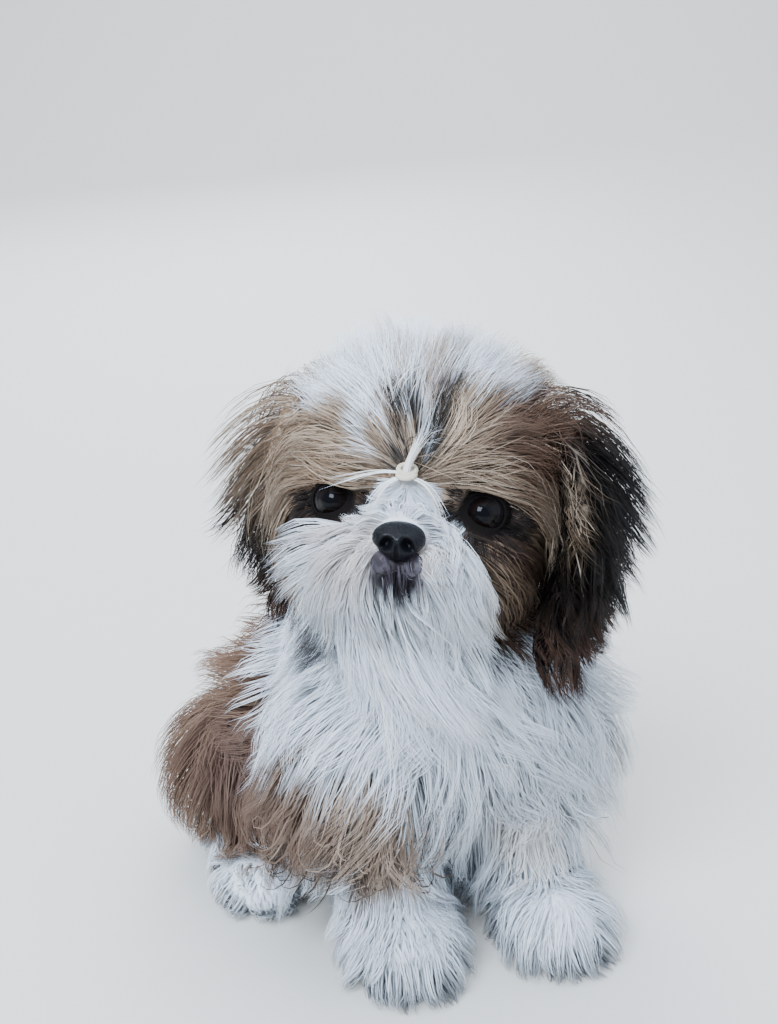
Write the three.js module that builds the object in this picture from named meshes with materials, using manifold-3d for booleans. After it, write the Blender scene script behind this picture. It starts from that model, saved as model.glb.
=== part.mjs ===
// A shih tzu puppy that sits and looks up, at life size, in millimetres.
// It faces -Y, with its left side at +X, and rests on the plane Z = 0.
// Each sub-part is a core, which is the body with the inner half of its coat, and the flat,
// tapered locks of its long coat, which follow the lie of the hair out to their tips.
import * as THREE from "three";
import { mergeVertices } from "three/addons/utils/BufferGeometryUtils.js";
import Module from "manifold-3d";

const wasm = await Module();
wasm.setup();
const { Manifold, Mesh } = wasm;

// Driving dimensions
const GAP = 0.3; // kept between sub-parts that touch
const CORE_SHARE = 0.5; // part of the coat's depth that the cores hold
const EYE_SPACING = 53; // between the eyes' centres
const EYE_R = 9.5;
const NOSE_WIDTH = 19;
const SKULL_R = 40; // half the width of the skull
const TRUNK_R = 50; // half the width of the barrel
const PAW_R = 18; // half the width of a forefoot without its coat
const STANCE = 31; // from the midline to a forefoot
const EAR_LENGTH = 80; // along the leather of the ear, from root to tip
const SEED = 15;

// Pose of the head, in degrees: it turns to its right, looks up and leans left.
const HEAD_AT = new THREE.Vector3(-9, -39, 186);
const HEAD_TURN = { yaw: -36, pitch: -12, roll: 3 };

const v3 = (x, y, z) => new THREE.Vector3(x, y, z);
const DOWN = v3(0, 0, -1);
const { clamp, lerp, smoothstep, degToRad } = THREE.MathUtils;

// Seeded random numbers.
let state = SEED;
function random() {
  state = (state * 16807) % 2147483647;
  return state / 2147483647;
}
const between = (low, high) => low + (high - low) * random();

// Groups: the dog, and the head's own frame, whose origin is the middle of the skull.
const dog = new THREE.Group();
const headFrame = new THREE.Group();
headFrame.position.copy(HEAD_AT);
headFrame.rotation.order = "ZXY";
headFrame.rotation.set(
  degToRad(HEAD_TURN.pitch),
  degToRad(HEAD_TURN.roll),
  degToRad(HEAD_TURN.yaw),
);
dog.add(headFrame);
dog.updateMatrixWorld(true);
const toBody = headFrame.matrixWorld.clone();
const toHead = toBody.clone().invert();
const headDown = DOWN.clone().transformDirection(toHead);

// A surface blends some ellipsoids, which are the bare body, and says how deep the coat is.
const form = (at, radii) => ({ at: v3(...at), radii: v3(...radii) });
const mirrored = (f) => form([-f.at.x, f.at.y, f.at.z], f.radii.toArray());

const cheek = form([0.52 * SKULL_R, -14, -15], [21, 25, 21]);
const temple = form([0.85 * SKULL_R, -12, -3], [12, 13, 14]);
const whiskerPad = form([10, -38, -22], [13, 12, 10.5]);
const HEAD = {
  forms: [
    form([0, 1, 7], [SKULL_R, 42, 37]),
    cheek,
    mirrored(cheek),
    temple,
    mirrored(temple),
    form([0, -33, -12], [14, 16, 13]),
    whiskerPad,
    mirrored(whiskerPad),
    form([0, -33, -33], [13, 12, 9]),
  ],
  coat: (p) => {
    const front = smoothstep(-p.y, 6, 28);
    const brow = smoothstep(p.z, 8, 22);
    const low = smoothstep(-p.z, 14, 34);
    const crown = smoothstep(p.z, 26, 44);
    return lerp(lerp(23, 17, front) + 5 * crown, 6, front * (1 - brow) * (1 - 0.6 * low));
  },
};
const shoulder = form([34, -40, 84], [24, 26, 30]);
const TORSO = {
  forms: [
    form([8, -28, 98], [50, 38, 42]),
    form([0, 8, 84], [TRUNK_R, 48, 50]),
    form([0, 46, 50], [54, 44, 46]),
    shoulder,
    mirrored(shoulder),
  ],
  coat: (p) => {
    const chest = smoothstep(-p.y, -10, 40) * smoothstep(p.z, 30, 70);
    return lerp(16, 29, chest);
  },
};
const NECK = {
  forms: [form([-3, -24, 134], [34, 32, 22]), form([-6, -31, 154], [32, 31, 18])],
  coat: () => 20,
};
const FORE_REACH = { left: -83, right: -68 };
const foreleg = (side) => {
  const footY = side > 0 ? FORE_REACH.left : FORE_REACH.right;
  return {
    forms: [
      form([side * 36, -46, 62], [16, 18, 22]),
      form([side * 34, 0.4 * footY - 32, 36], [14, 14, 20]),
      form([side * STANCE, footY, 13], [PAW_R, 21, 13]),
    ],
    coat: (p) => lerp(14, 6, smoothstep(p.z, 16, 44)),
  };
};
const hindleg = (side) => ({
  forms: [
    form([side * 51, 42, 46], [28, 38, 34]),
    form([side * 60, 26, 18], [14, 20, 14]),
    form([side * 65, 5, 11], [14, 24, 11]),
  ],
  coat: (p) => lerp(7, 15, smoothstep(p.z, 8, 34)),
});
const TAIL_LINE = [
  [0, 84, 50, 9, 9],
  [8, 104, 64, 9, 9],
  [26, 108, 84, 8, 8],
  [42, 92, 96, 7, 7],
  [50, 74, 94, 5, 5],
];
const TAIL = {
  forms: TAIL_LINE.map(([x, y, z, r]) => form([x, y, z], [r + 2, r + 2, r + 2])),
  coat: () => 4,
};

// Strength of a surface at a point: 1 on the core's face, more inside.
const BLEND = 5;
function strength(surface, p, grow = 0, share = CORE_SHARE) {
  const more = share * surface.coat(p) + grow;
  let sum = 0;
  for (const { at, radii } of surface.forms) {
    const x = (p.x - at.x) / (radii.x + more);
    const y = (p.y - at.y) / (radii.y + more);
    const z = (p.z - at.z) / (radii.z + more);
    sum += Math.exp(BLEND * (1 - x * x - y * y - z * z));
  }
  return sum;
}

// Slope of the logarithm of the strength, which points into the body.
function slope(surface, p) {
  const e = 0.5;
  const at = (x, y, z) => Math.log(strength(surface, v3(p.x + x, p.y + y, p.z + z)) + 1e-30);
  return v3(
    at(e, 0, 0) - at(-e, 0, 0),
    at(0, e, 0) - at(0, -e, 0),
    at(0, 0, e) - at(0, 0, -e),
  ).divideScalar(2 * e);
}
const outward = (surface, p) => slope(surface, p).negate().normalize();

// The place on the core's face nearest to a point close to it.
function settle(surface, p) {
  const place = p.clone();
  for (let step = 0; step < 3; step++) {
    const rise = slope(surface, place);
    const steep = Math.max(rise.length(), 0.02);
    const away = Math.log(strength(surface, place) + 1e-30) / steep;
    place.addScaledVector(rise.divideScalar(steep), -clamp(away, -12, 12));
  }
  return place;
}

// A closed mesh from vertices and triangles.
function geometryOf(points, triangles) {
  const flat = new Float32Array(points.flatMap((p) => [p.x, p.y, p.z]));
  return new THREE.BufferGeometry()
    .setAttribute("position", new THREE.BufferAttribute(flat, 3))
    .setIndex(triangles);
}

// A solid of a closed geometry, moved by a matrix.
function solidOf(geometry, matrix) {
  const plain = geometry.clone();
  plain.deleteAttribute("normal");
  plain.deleteAttribute("uv");
  if (matrix) plain.applyMatrix4(matrix);
  const merged = mergeVertices(plain, 1e-3);
  return new Manifold(
    new Mesh({
      numProp: 3,
      vertProperties: merged.attributes.position.array,
      triVerts: new Uint32Array(merged.index.array),
    }),
  );
}

// A surface as a mesh: a fine ball whose points move out from a centre to the core's face.
function blob(surface, centre, detail, grow) {
  const ball = new THREE.IcosahedronGeometry(1, detail);
  ball.deleteAttribute("normal");
  ball.deleteAttribute("uv");
  const skin = mergeVertices(ball, 1e-4);
  const place = skin.attributes.position;
  const way = v3(0, 0, 0);
  const p = v3(0, 0, 0);
  for (let i = 0; i < place.count; i++) {
    way.fromBufferAttribute(place, i);
    let inside = 0;
    let beyond = 160;
    for (let step = 0; step < 22; step++) {
      const middle = (inside + beyond) / 2;
      p.copy(centre).addScaledVector(way, middle);
      if (strength(surface, p, grow) > 1) inside = middle;
      else beyond = middle;
    }
    p.copy(centre).addScaledVector(way, inside);
    place.setXYZ(i, p.x, p.y, p.z);
  }
  return skin;
}

// A limb: a tube of oval rings round a smooth line, with closed, rounded ends.
// Each station is [x, y, z, half width across, half depth along the normal].
// The sag bends the section into a channel, hollow on the side that the depth points away from.
function limb(stations, across, { sides = 10, steps = 8, sag = 0, grow = 0 } = {}) {
  const line = new THREE.CatmullRomCurve3(stations.map((s) => v3(s[0], s[1], s[2])));
  const sizeAt = (t, k) => {
    const place = t * (stations.length - 1);
    const i = Math.min(Math.floor(place), stations.length - 2);
    return lerp(stations[i][k], stations[i + 1][k], place - i) + grow;
  };
  const points = [];
  const triangles = [];
  for (let i = 0; i <= steps; i++) {
    const t = i / steps;
    const along = line.getTangent(t);
    const side = across.clone().addScaledVector(along, -along.dot(across)).normalize();
    const face = along.clone().cross(side);
    for (let k = 0; k < sides; k++) {
      const a = (2 * Math.PI * k) / sides;
      const high = Math.sin(a) * sizeAt(t, 4) + Math.sin(a) ** 2 * sag;
      points.push(
        line
          .getPoint(t)
          .addScaledVector(side, Math.cos(a) * sizeAt(t, 3))
          .addScaledVector(face, high),
      );
    }
  }
  for (let i = 0; i < steps; i++)
    for (let k = 0; k < sides; k++) {
      const a = i * sides + k;
      const b = i * sides + ((k + 1) % sides);
      triangles.push(a, b, b + sides, a, b + sides, a + sides);
    }
  for (const [t, ring, turn] of [
    [0, 0, 1],
    [1, steps * sides, -1],
  ]) {
    const cap = points.length;
    const bulge = 0.45 * Math.min(sizeAt(t, 3), sizeAt(t, 4));
    points.push(line.getPoint(t).addScaledVector(line.getTangent(t), -turn * bulge));
    for (let k = 0; k < sides; k++) {
      const a = ring + k;
      const b = ring + ((k + 1) % sides);
      triangles.push(...(turn > 0 ? [cap, b, a] : [cap, a, b]));
    }
  }
  return geometryOf(points, triangles);
}

// Stations of a lock from its root to its tip: how far along it each is, and its height over
// the core, its width and its thickness there, as shares of the lock's own.
const LOCK_STATIONS = [
  { along: 0, high: 0, wide: 0.6, thick: 0.9 },
  { along: 0.36, high: 0.5, wide: 1, thick: 1 },
  { along: 0.7, high: 0.85, wide: 0.68, thick: 0.7 },
  { along: 1, high: 0.95, wide: 0, thick: 0 },
];

// One lock: a flat blade with a ridge, which lies along its path and tapers to a point. Its
// section is a triangle, half as wide as its base and high as its ridge, with its centre low.
// A lock that grows moves each of its faces out by the same margin.
const LOW = 0.3;
function lock({ path, width, thickness, lift, sink }, grow) {
  const centres = path.map(({ at, normal }, i) =>
    at.clone().addScaledVector(normal, i ? lift * LOCK_STATIONS[i].high : -sink),
  );
  const points = [];
  const triangles = [];
  const last = centres.length - 1;
  for (let i = 0; i < last; i++) {
    const half = (LOCK_STATIONS[i].wide * width) / 2;
    const ridge = LOCK_STATIONS[i].thick * thickness;
    const slant = Math.hypot(half, ridge);
    const along = centres[i + 1].clone().sub(centres[Math.max(i - 1, 0)]).normalize();
    const side = path[i].normal.clone().cross(along).normalize();
    const up = along.clone().cross(side);
    const base = centres[i].clone().addScaledVector(up, -LOW * ridge - grow);
    const reach = half + (grow * (slant + half)) / ridge;
    const top = ridge + grow + (grow * slant) / half;
    points.push(
      base.clone().addScaledVector(side, -reach),
      base.clone().addScaledVector(side, reach),
      base.clone().addScaledVector(up, top),
    );
  }
  const end = points.length;
  const tipward = centres[last].clone().sub(centres[last - 1]);
  const sharp = tipward.length() / (LOW * LOCK_STATIONS[last - 1].thick * thickness);
  points.push(centres[last].clone().addScaledVector(tipward.normalize(), grow * sharp));
  const open = end - 3;
  for (let ring = 0; ring < open; ring += 3)
    for (let k = 0; k < 3; k++) {
      const a = ring + k;
      const b = ring + ((k + 1) % 3);
      triangles.push(a, b, b + 3, a, b + 3, a + 3);
    }
  for (let k = 0; k < 3; k++) triangles.push(open + k, open + ((k + 1) % 3), end);
  triangles.push(0, 2, 1);
  return geometryOf(points, triangles);
}

// Roots spread evenly over a core: random places on its faces, kept apart by the spacing.
function roots(core, spacingAt, tries) {
  const place = core.attributes.position;
  const index = core.index.array;
  const corner = (i) => v3(0, 0, 0).fromBufferAttribute(place, index[i]);
  const areas = [];
  let area = 0;
  for (let i = 0; i < index.length; i += 3) {
    area += new THREE.Triangle(corner(i), corner(i + 1), corner(i + 2)).getArea();
    areas.push(area);
  }
  const found = [];
  for (let n = 0; n < tries; n++) {
    const target = random() * area;
    const face = areas.findIndex((a) => a >= target);
    const s = Math.sqrt(random());
    const r = random();
    const p = v3(0, 0, 0)
      .addScaledVector(corner(3 * face), 1 - s)
      .addScaledVector(corner(3 * face + 1), s * (1 - r))
      .addScaledVector(corner(3 * face + 2), s * r);
    const spacing = spacingAt(p);
    if (spacing && found.every((q) => q.distanceTo(p) > spacing)) found.push(p);
  }
  return found;
}

// The path of a lock: it follows the comb from its root, step by step. It clings to the core's
// face by a share from 0 to 1, and hangs free for the rest.
function pathOf(surface, root, comb, length, cling) {
  const path = [{ at: root, normal: outward(surface, root) }];
  for (let i = 1; i < LOCK_STATIONS.length; i++) {
    const { at, normal } = path[i - 1];
    const step = (LOCK_STATIONS[i].along - LOCK_STATIONS[i - 1].along) * length;
    const lie = comb(at, normal).clone().normalize();
    lie.addScaledVector(normal, -cling * lie.dot(normal)).normalize();
    const free = at.clone().addScaledVector(lie, step);
    const next = free.clone().lerp(settle(surface, free), cling);
    path.push({ at: next, normal: normal.clone().lerp(outward(surface, next), cling).normalize() });
  }
  return path;
}

// Locks for a core. cut(p) gives a lock's length and width, and how closely it clings.
// A lock that would enter a neighbour is raised, and then shortened until it clears it.
const RAISE = 4;
const SHORTEN = 0.78;
const SHORTEST = 16;
const FLOOR_CLEAR = 2;
function coat(surface, core, options) {
  const { spacing, comb, cut, blocked = () => false, stops = () => false } = options;
  const { sink = 5, lowest = -Infinity, raises = 2 } = options;
  const found = [];
  for (const root of roots(core, spacing, 4000)) {
    const { length, width, cling = 1, thickness = 0.2 * width } = cut(root);
    const turn = between(-0.25, 0.25);
    const turned = (p, n) => comb(p, n).clone().applyAxisAngle(n, turn);
    const depth = Math.max((1 - CORE_SHARE) * surface.coat(root), 4) * between(0.85, 1.2);
    const wide = width * between(0.9, 1.1);
    const enters = ({ path, lift }) =>
      [2, 3].some((i) =>
        blocked(path[i].at.clone().addScaledVector(path[i].normal, lift * LOCK_STATIONS[i].high)),
      );
    const clear = ({ path }) =>
      path.at(-1).at.z >= lowest && !path.slice(1).some(({ at }) => stops(at));
    for (let reach = length * between(0.88, 1.12); reach > SHORTEST; reach *= SHORTEN) {
      const path = pathOf(surface, root, turned, reach, cling);
      const one = { path, width: wide, thickness, lift: depth, sink };
      for (let n = 0; n < raises && enters(one); n++) one.lift += RAISE;
      if (enters(one) || !clear(one)) continue;
      found.push(one);
      break;
    }
  }
  return found;
}

// A sub-part's solid: its cores and locks as one body, grown by a margin where it cuts others.
function joined({ cores, locks, matrix }, grow) {
  const pieces = cores(grow).map((core) => solidOf(core, matrix));
  for (const one of locks) pieces.push(solidOf(lock(one, grow), matrix));
  return Manifold.union(pieces);
}
const ballAt = (centre, radii, segments = 14, rings = 10) =>
  new THREE.SphereGeometry(1, segments, rings)
    .scale(radii.x, radii.y, radii.z)
    .translate(centre.x, centre.y, centre.z);
const evenBall = (centre, radius, segments, rings) =>
  ballAt(centre, v3(radius, radius, radius), segments, rings);

// Tests for places inside a neighbour.
const inHead = (p, grow) => strength(HEAD, p.clone().applyMatrix4(toHead), grow) > 1;
const inTorso = (p, grow) => strength(TORSO, p, grow) > 1;
const LEGS = [
  { name: "foreleg_left", surface: foreleg(1), centre: v3(34, -60, 36), detail: 3 },
  { name: "foreleg_right", surface: foreleg(-1), centre: v3(-34, -56, 36), detail: 3 },
  { name: "hindleg_left", surface: hindleg(1), centre: v3(57, 28, 28), detail: 3 },
  { name: "hindleg_right", surface: hindleg(-1), centre: v3(-57, 28, 28), detail: 3 },
];
const inLegs = (p, grow) => LEGS.some(({ surface }) => strength(surface, p, grow) > 1);

// Head: eyes, lids, muzzle, lips and the line of the mouth.
const NOSE_AT = v3(0, -50, -13);
const EYE_AT = v3(EYE_SPACING / 2, -27, -2);
const LID = 2.2;
const eyePlace = (side) => v3(side * EYE_AT.x, EYE_AT.y, EYE_AT.z);
const gaze = (side) => v3(side * 0.2, -1, 0.05).normalize();
const headCore = (grow) => blob(HEAD, v3(0, -6, -2), 6, grow);

// Ears: where the leather of each hangs, from its root to its tip.
const EAR_TOP = 31;
const EAR_DROP = 79;
const LEFT_EAR = [
  [38, 4, EAR_TOP, 10, 3.6],
  [54, 5, EAR_TOP - 2, 16, 5],
  [63, 4, 11, 21, 6],
  [65, 2, -16, 20, 6],
  [59, 0, EAR_TOP - EAR_DROP, 10, 3],
];
const RIGHT_EAR = [
  [-38, 4, EAR_TOP, 10, 3.6],
  [-52, 8, EAR_TOP - 2, 16, 5],
  [-59, 16, 12, 20, 5.6],
  [-60, 25, -12, 19, 5.6],
  [-55, 32, EAR_TOP - 0.9 * EAR_DROP, 9, 3],
];
const EAR_SAG = 4.5;
const earLine = (side) =>
  (side > 0 ? LEFT_EAR : RIGHT_EAR).map(([x, y, z, wide, thick]) => [
    x,
    y,
    EAR_TOP + ((z - EAR_TOP) * EAR_LENGTH) / EAR_DROP,
    wide,
    thick,
  ]);
const earForms = [1, -1].flatMap((side) =>
  earLine(side).map(([x, y, z, wide]) => form([x, y, z], [6, wide, 12])),
);
const inEars = (p) => strength({ forms: earForms, coat: () => 0 }, p) > 1;

// The hair of the head radiates from the nose, falls at the sides and hangs as a beard.
const NOSE_ROOT = v3(0, -44, -8);
function headComb(p) {
  const away = p.clone().sub(NOSE_ROOT).normalize();
  const side = Math.sign(p.x) || 1;
  const parted = 0.8 * smoothstep(Math.abs(p.x), 4, 22);
  const front = smoothstep(-p.y, 8, 34);
  const top = smoothstep(p.z, 0, 26);
  const low = smoothstep(-p.z, 12, 40);
  return away
    .add(v3(side * parted * top * front, 0.2 * (1 - front), 0))
    .addScaledVector(headDown, 0.35 + 0.8 * (1 - front) * (1 - top) + 0.6 * low);
}
const nearEye = (p) => Math.min(p.distanceTo(eyePlace(1)), p.distanceTo(eyePlace(-1)));
const underEar = (p) => Math.abs(p.x) > 30 && p.y > 0 && p.y < 26 && p.z > -44 && p.z < 34;
const NAPE = v3(1, 6, -46);
function headSpacing(p) {
  if (nearEye(p) < 15 || p.distanceTo(NOSE_AT) < 13 || p.distanceTo(NAPE) < 30) return 0;
  if (Math.abs(p.x) < 9 && p.y < -36 && p.z < -8 && p.z > -38) return 0;
  if (underEar(p)) return 0;
  if (p.y > -2) return 26;
  if (p.y > -22) return 18;
  return p.z > 8 ? 14.5 : 12;
}
function headCut(p) {
  if (p.y > -2) return { length: 58, width: 24, cling: 0.9 };
  if (p.y > -22) return { length: 52, width: 19, cling: 0.9 };
  if (p.z > 8) return { length: 46, width: 15, cling: 0.9 };
  if (p.z > -22) return { length: 36, width: 10, cling: 0.7 };
  return { length: 60, width: 12, cling: 0.35 };
}
const headLocks = coat(HEAD, headCore(0), {
  spacing: headSpacing,
  comb: headComb,
  cut: headCut,
  blocked: (p) => {
    const q = p.clone().applyMatrix4(toBody);
    return strength(NECK, q, 3) > 1 || inTorso(q, 3);
  },
  stops: inEars,
});

// Topknot: a tuft that leaves the forehead between the eyes and is bound by the band.
const KNOT_WAIST = 2.4;
const KNOT_LINE = [
  [0, -40, 4, 6.5, 5],
  [0.4, -47, 9, KNOT_WAIST, KNOT_WAIST],
  [1, -50, 13.5, KNOT_WAIST, KNOT_WAIST],
  [3, -53.5, 22, 5, 3.4],
  [6, -54, 32, 6, 3],
  [10, -52, 42, 2, 1.2],
];
const BAND_AT = v3(0.7, -48.7, 11.2);
const BAND_WIRE = 1.2;

// A place on the front of the face, from its distance across and its height.
function onFace(x, z) {
  let inside = 0;
  let beyond = -90;
  for (let step = 0; step < 20; step++) {
    const middle = (inside + beyond) / 2;
    if (strength(HEAD, v3(x, middle, z)) > 1) inside = middle;
    else beyond = middle;
  }
  return [x, inside, z];
}

// Line of the mouth: the cleft under the nose and the two lips, as grooves with raised rims.
const GROOVE = [0.9, 1.6];
const RIM = [2.2, 1.7];
const CLEFT = [-19, -25, -30].map((z) => onFace(0, z));
const lipLine = (side) =>
  [
    [0, -30],
    [5, -31.6],
    [10, -33.2],
    [14, -35.4],
  ].map(([x, z]) => onFace(side * x, z));
const along = (line, size) => line.map((place) => [...place, ...size]);

function headSolid(grow) {
  let solid = joined({ cores: (g) => [headCore(g)], locks: headLocks, matrix: toBody }, grow);
  const knot = limb(KNOT_LINE, v3(1, 0, 0), { sides: 6, steps: 9, grow });
  solid = solid.add(solidOf(knot, toBody));
  for (const side of [1, -1]) {
    const lids = evenBall(eyePlace(side), EYE_R + LID + grow, 12, 8);
    solid = solid.add(solidOf(lids, toBody));
  }
  for (const side of [1, -1])
    for (const lower of [0, 3.4]) {
      const line = lipLine(side).map(([x, y, z]) => [x, y + 0.3 * lower, z - lower + 1.7]);
      const rim = limb(along(line, RIM), v3(0, 0, 1), { sides: 6, steps: 5, grow });
      solid = solid.add(solidOf(rim, toBody));
    }
  if (grow) return solid;
  for (const side of [1, -1]) {
    const socket = evenBall(eyePlace(side), EYE_R + GAP, 12, 8);
    const mouthOfLids = eyePlace(side).addScaledVector(gaze(side), EYE_R + 1);
    const slit = ballAt(mouthOfLids, v3(8.6, 6.5, 7), 12, 8);
    solid = solid.subtract(solidOf(socket, toBody)).subtract(solidOf(slit, toBody));
    const lip = limb(along(lipLine(side), GROOVE), v3(0, 0, 1), { sides: 5, steps: 5 });
    solid = solid.subtract(solidOf(lip, toBody));
  }
  const cleft = limb(along(CLEFT, GROOVE), v3(1, 0, 0), { sides: 5, steps: 2 });
  return solid.subtract(solidOf(cleft, toBody));
}

// Nose: a broad pad, flat in front, with two nostrils and a cleft.
function nosePad(grow) {
  const pad = new THREE.SphereGeometry(1, 12, 8);
  const place = pad.attributes.position;
  for (let i = 0; i < place.count; i++) {
    const [x, y, z] = [place.getX(i), place.getY(i), place.getZ(i)];
    const broad = 1 + 0.16 * clamp(z, -1, 1);
    place.setXYZ(
      i,
      NOSE_AT.x + x * broad * (NOSE_WIDTH / 2 + grow),
      NOSE_AT.y + Math.max(y, -0.72) * (7 + grow),
      NOSE_AT.z + z * (6.6 + grow),
    );
  }
  return pad;
}
function noseSolid() {
  let solid = solidOf(nosePad(0), toBody);
  for (const side of [1, -1]) {
    const hole = ballAt(v3(side * 4.3, -55.4, -13.4), v3(2.3, 3.4, 1.9), 7, 5);
    const wing = ballAt(v3(side * 7.4, -54.6, -14.6), v3(2.4, 2.6, 0.9), 6, 4);
    solid = solid.subtract(solidOf(hole, toBody)).subtract(solidOf(wing, toBody));
  }
  const cleft = ballAt(v3(0, -56, -16), v3(0.6, 1.6, 5), 6, 4);
  return solid.subtract(solidOf(cleft, toBody));
}

// Band: an elastic wound twice round the topknot's waist.
function bandSolid(grow) {
  const turns = [-1, 1].map((layer) => {
    const ring = KNOT_WAIST + GAP + BAND_WIRE;
    const turn = new THREE.TorusGeometry(ring, BAND_WIRE + grow, 5, 11);
    turn.rotateX(0.1 * layer).translate(0, 0, 0.8 * BAND_WIRE * layer);
    return turn.rotateX(0.5).translate(BAND_AT.x, BAND_AT.y, BAND_AT.z);
  });
  return Manifold.union(turns.map((turn) => solidOf(turn, toBody)));
}

// An ear: its leather, hollow inside, with long locks on its outer face.
const ear = (side) => {
  const line = earLine(side);
  const leather = (grow) =>
    limb(line, v3(0, side, 0), { sides: 9, steps: 7, sag: EAR_SAG, grow });
  const surface = {
    forms: line.map(([x, y, z, wide]) => form([x - side * 10, y, z], [11, wide, 14])),
    coat: () => 19,
  };
  const curve = new THREE.CatmullRomCurve3(line.map((s) => v3(s[0], s[1], s[2])));
  const marks = curve.getPoints(16);
  const comb = (p) => {
    const nearest = marks.reduce((a, b) => (p.distanceTo(b) < p.distanceTo(a) ? b : a));
    const share = marks.indexOf(nearest) / 16;
    return curve.getTangent(share).addScaledVector(headDown, 0.9 + share);
  };
  const locks = coat(surface, leather(0), {
    spacing: (p) => {
      const outer = outward(surface, p).dot(v3(side, 0, 0.5)) > 0.35;
      return outer && side * p.x > 46 ? 18 : 0;
    },
    comb,
    cut: () => ({ length: 48, width: 20, cling: 0.6, thickness: 3.6 }),
    sink: 2.6,
  });
  return { cores: (grow) => [leather(grow)], locks, matrix: toBody };
};

// Neck: short, between the head and the chest, with a ruff.
const neckCore = (grow) => blob(NECK, v3(-4, -28, 144), 2, grow);
const neck = {
  cores: (grow) => [neckCore(grow)],
  locks: coat(NECK, neckCore(0), {
    spacing: (p) => (inHead(p, 4) || inTorso(p, 1) ? 0 : 20),
    comb: (p, normal) => v3(0.3 * normal.x, 0.3 * normal.y, -1),
    cut: () => ({ length: 38, width: 26, cling: 0.8 }),
    blocked: (p) => inTorso(p, 3),
  }),
};

// Torso: chest, barrel, rump and shoulders. The locks of the chest hang longest.
const torsoCore = (grow) => blob(TORSO, v3(0, 8, 76), 4, grow);
const torso = {
  cores: (grow) => [torsoCore(grow)],
  locks: coat(TORSO, torsoCore(0), {
    spacing: (p) => {
      if (p.z < 22 || inLegs(p, 1) || strength(NECK, p, 1) > 1 || inHead(p, 4)) return 0;
      return p.y < -10 ? 23 : 31;
    },
    comb: (p) => v3(0.004 * p.x, 0.8 * smoothstep(p.y, -20, 50), -1),
    cut: (p) => {
      const chest = smoothstep(-p.y, 0, 40);
      return {
        length: lerp(62, 66, chest),
        width: lerp(34, 22, chest),
        cling: lerp(0.85, 0.4, chest),
      };
    },
    blocked: (p) => inLegs(p, 3),
    lowest: 8,
  }),
};

// Legs: a foreleg comes down from the shoulder, and a hind leg is the haunch, hock and foot.
const legs = LEGS.map(({ name, surface, centre, detail }) => {
  const core = (grow) => blob(surface, centre, detail, grow);
  const locks = coat(surface, core(0), {
    spacing: (p) => {
      if (p.z < 7 || inTorso(p, 2)) return 0;
      return p.z > 32 ? 25 : 19;
    },
    comb: (p, normal) => v3(0.6 * normal.x, 0.6 * normal.y - 0.25, -1),
    cut: (p) => {
      const high = smoothstep(p.z, 14, 44);
      return { length: lerp(24, 56, high), width: lerp(15, 29, high), cling: 0.8 };
    },
    blocked: (p) => inTorso(p, 2),
    raises: 1,
    sink: 5,
    lowest: FLOOR_CLEAR,
  });
  return { name, cores: (grow) => [core(grow)], locks };
});

// Tail: a plume that curls up over the rump towards the left hip.
const tailCore = (grow) => limb(TAIL_LINE, v3(1, 0, 0), { sides: 8, steps: 9, grow });
const TAIL_MIDDLE = v3(14, 84, 74);
const tail = {
  cores: (grow) => [tailCore(grow)],
  locks: coat(TAIL, tailCore(0), {
    spacing: (p) => (inTorso(p, 4) ? 0 : 16),
    comb: (p) => v3(0.4, 0, -0.9).add(p.clone().sub(TAIL_MIDDLE).normalize()),
    cut: () => ({ length: 38, width: 18, cling: 0.2, thickness: 5 }),
    blocked: (p) => inTorso(p, 4),
    sink: 4,
  }),
};

// Finishes of the sub-parts.
const finish = (colour, roughness, metalness = 0) =>
  new THREE.MeshStandardMaterial({ color: colour, roughness, metalness });
const WHITE_COAT = finish(0xe9e6e4, 0.85);
const BROWN_COAT = finish(0x6b4a3a, 0.85);
const DARK_COAT = finish(0x2a201d, 0.8);
const EYE_FINISH = finish(0x0d0a0c, 0.08);
const NOSE_FINISH = finish(0x1b1b20, 0.4);
const BAND_FINISH = finish(0xe8e4d2, 0.5);

// Each sub-part in turn is cut clear of those before it and of the floor, and keeps its
// largest closed surface.
const earlier = [];
const made = [];
const largest = (solid) =>
  solid.decompose().reduce((a, b) => (b.volume() > a.volume() ? b : a));
function keep(name, parent, material, solid, grown) {
  let cut = solid;
  for (const other of earlier) cut = cut.subtract(other);
  made.push({ name, parent, material, solid: largest(cut.trimByPlane([0, 0, 1], 0)) });
  if (grown) earlier.push(grown.add(solid));
}
for (const [name, side] of [
  ["eye_left", 1],
  ["eye_right", -1],
])
  keep(name, headFrame, EYE_FINISH, solidOf(evenBall(eyePlace(side), EYE_R, 12, 8), toBody));
keep("nose", headFrame, NOSE_FINISH, noseSolid(), solidOf(nosePad(GAP), toBody));
keep("hair_tie", headFrame, BAND_FINISH, bandSolid(0), bandSolid(GAP));
keep("head", headFrame, WHITE_COAT, headSolid(0), headSolid(GAP));
for (const [name, side] of [
  ["ear_left", 1],
  ["ear_right", -1],
]) {
  const part = ear(side);
  keep(name, headFrame, DARK_COAT, joined(part, 0), joined(part, GAP));
}
keep("torso", dog, BROWN_COAT, joined(torso, 0), joined(torso, GAP));
keep("neck", dog, WHITE_COAT, joined(neck, 0), joined(neck, GAP));
for (const leg of legs) {
  const hue = leg.name.startsWith("fore") ? WHITE_COAT : BROWN_COAT;
  keep(leg.name, dog, hue, joined(leg, 0), joined(leg, GAP));
}
keep("tail", dog, BROWN_COAT, joined(tail, 0));

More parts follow.
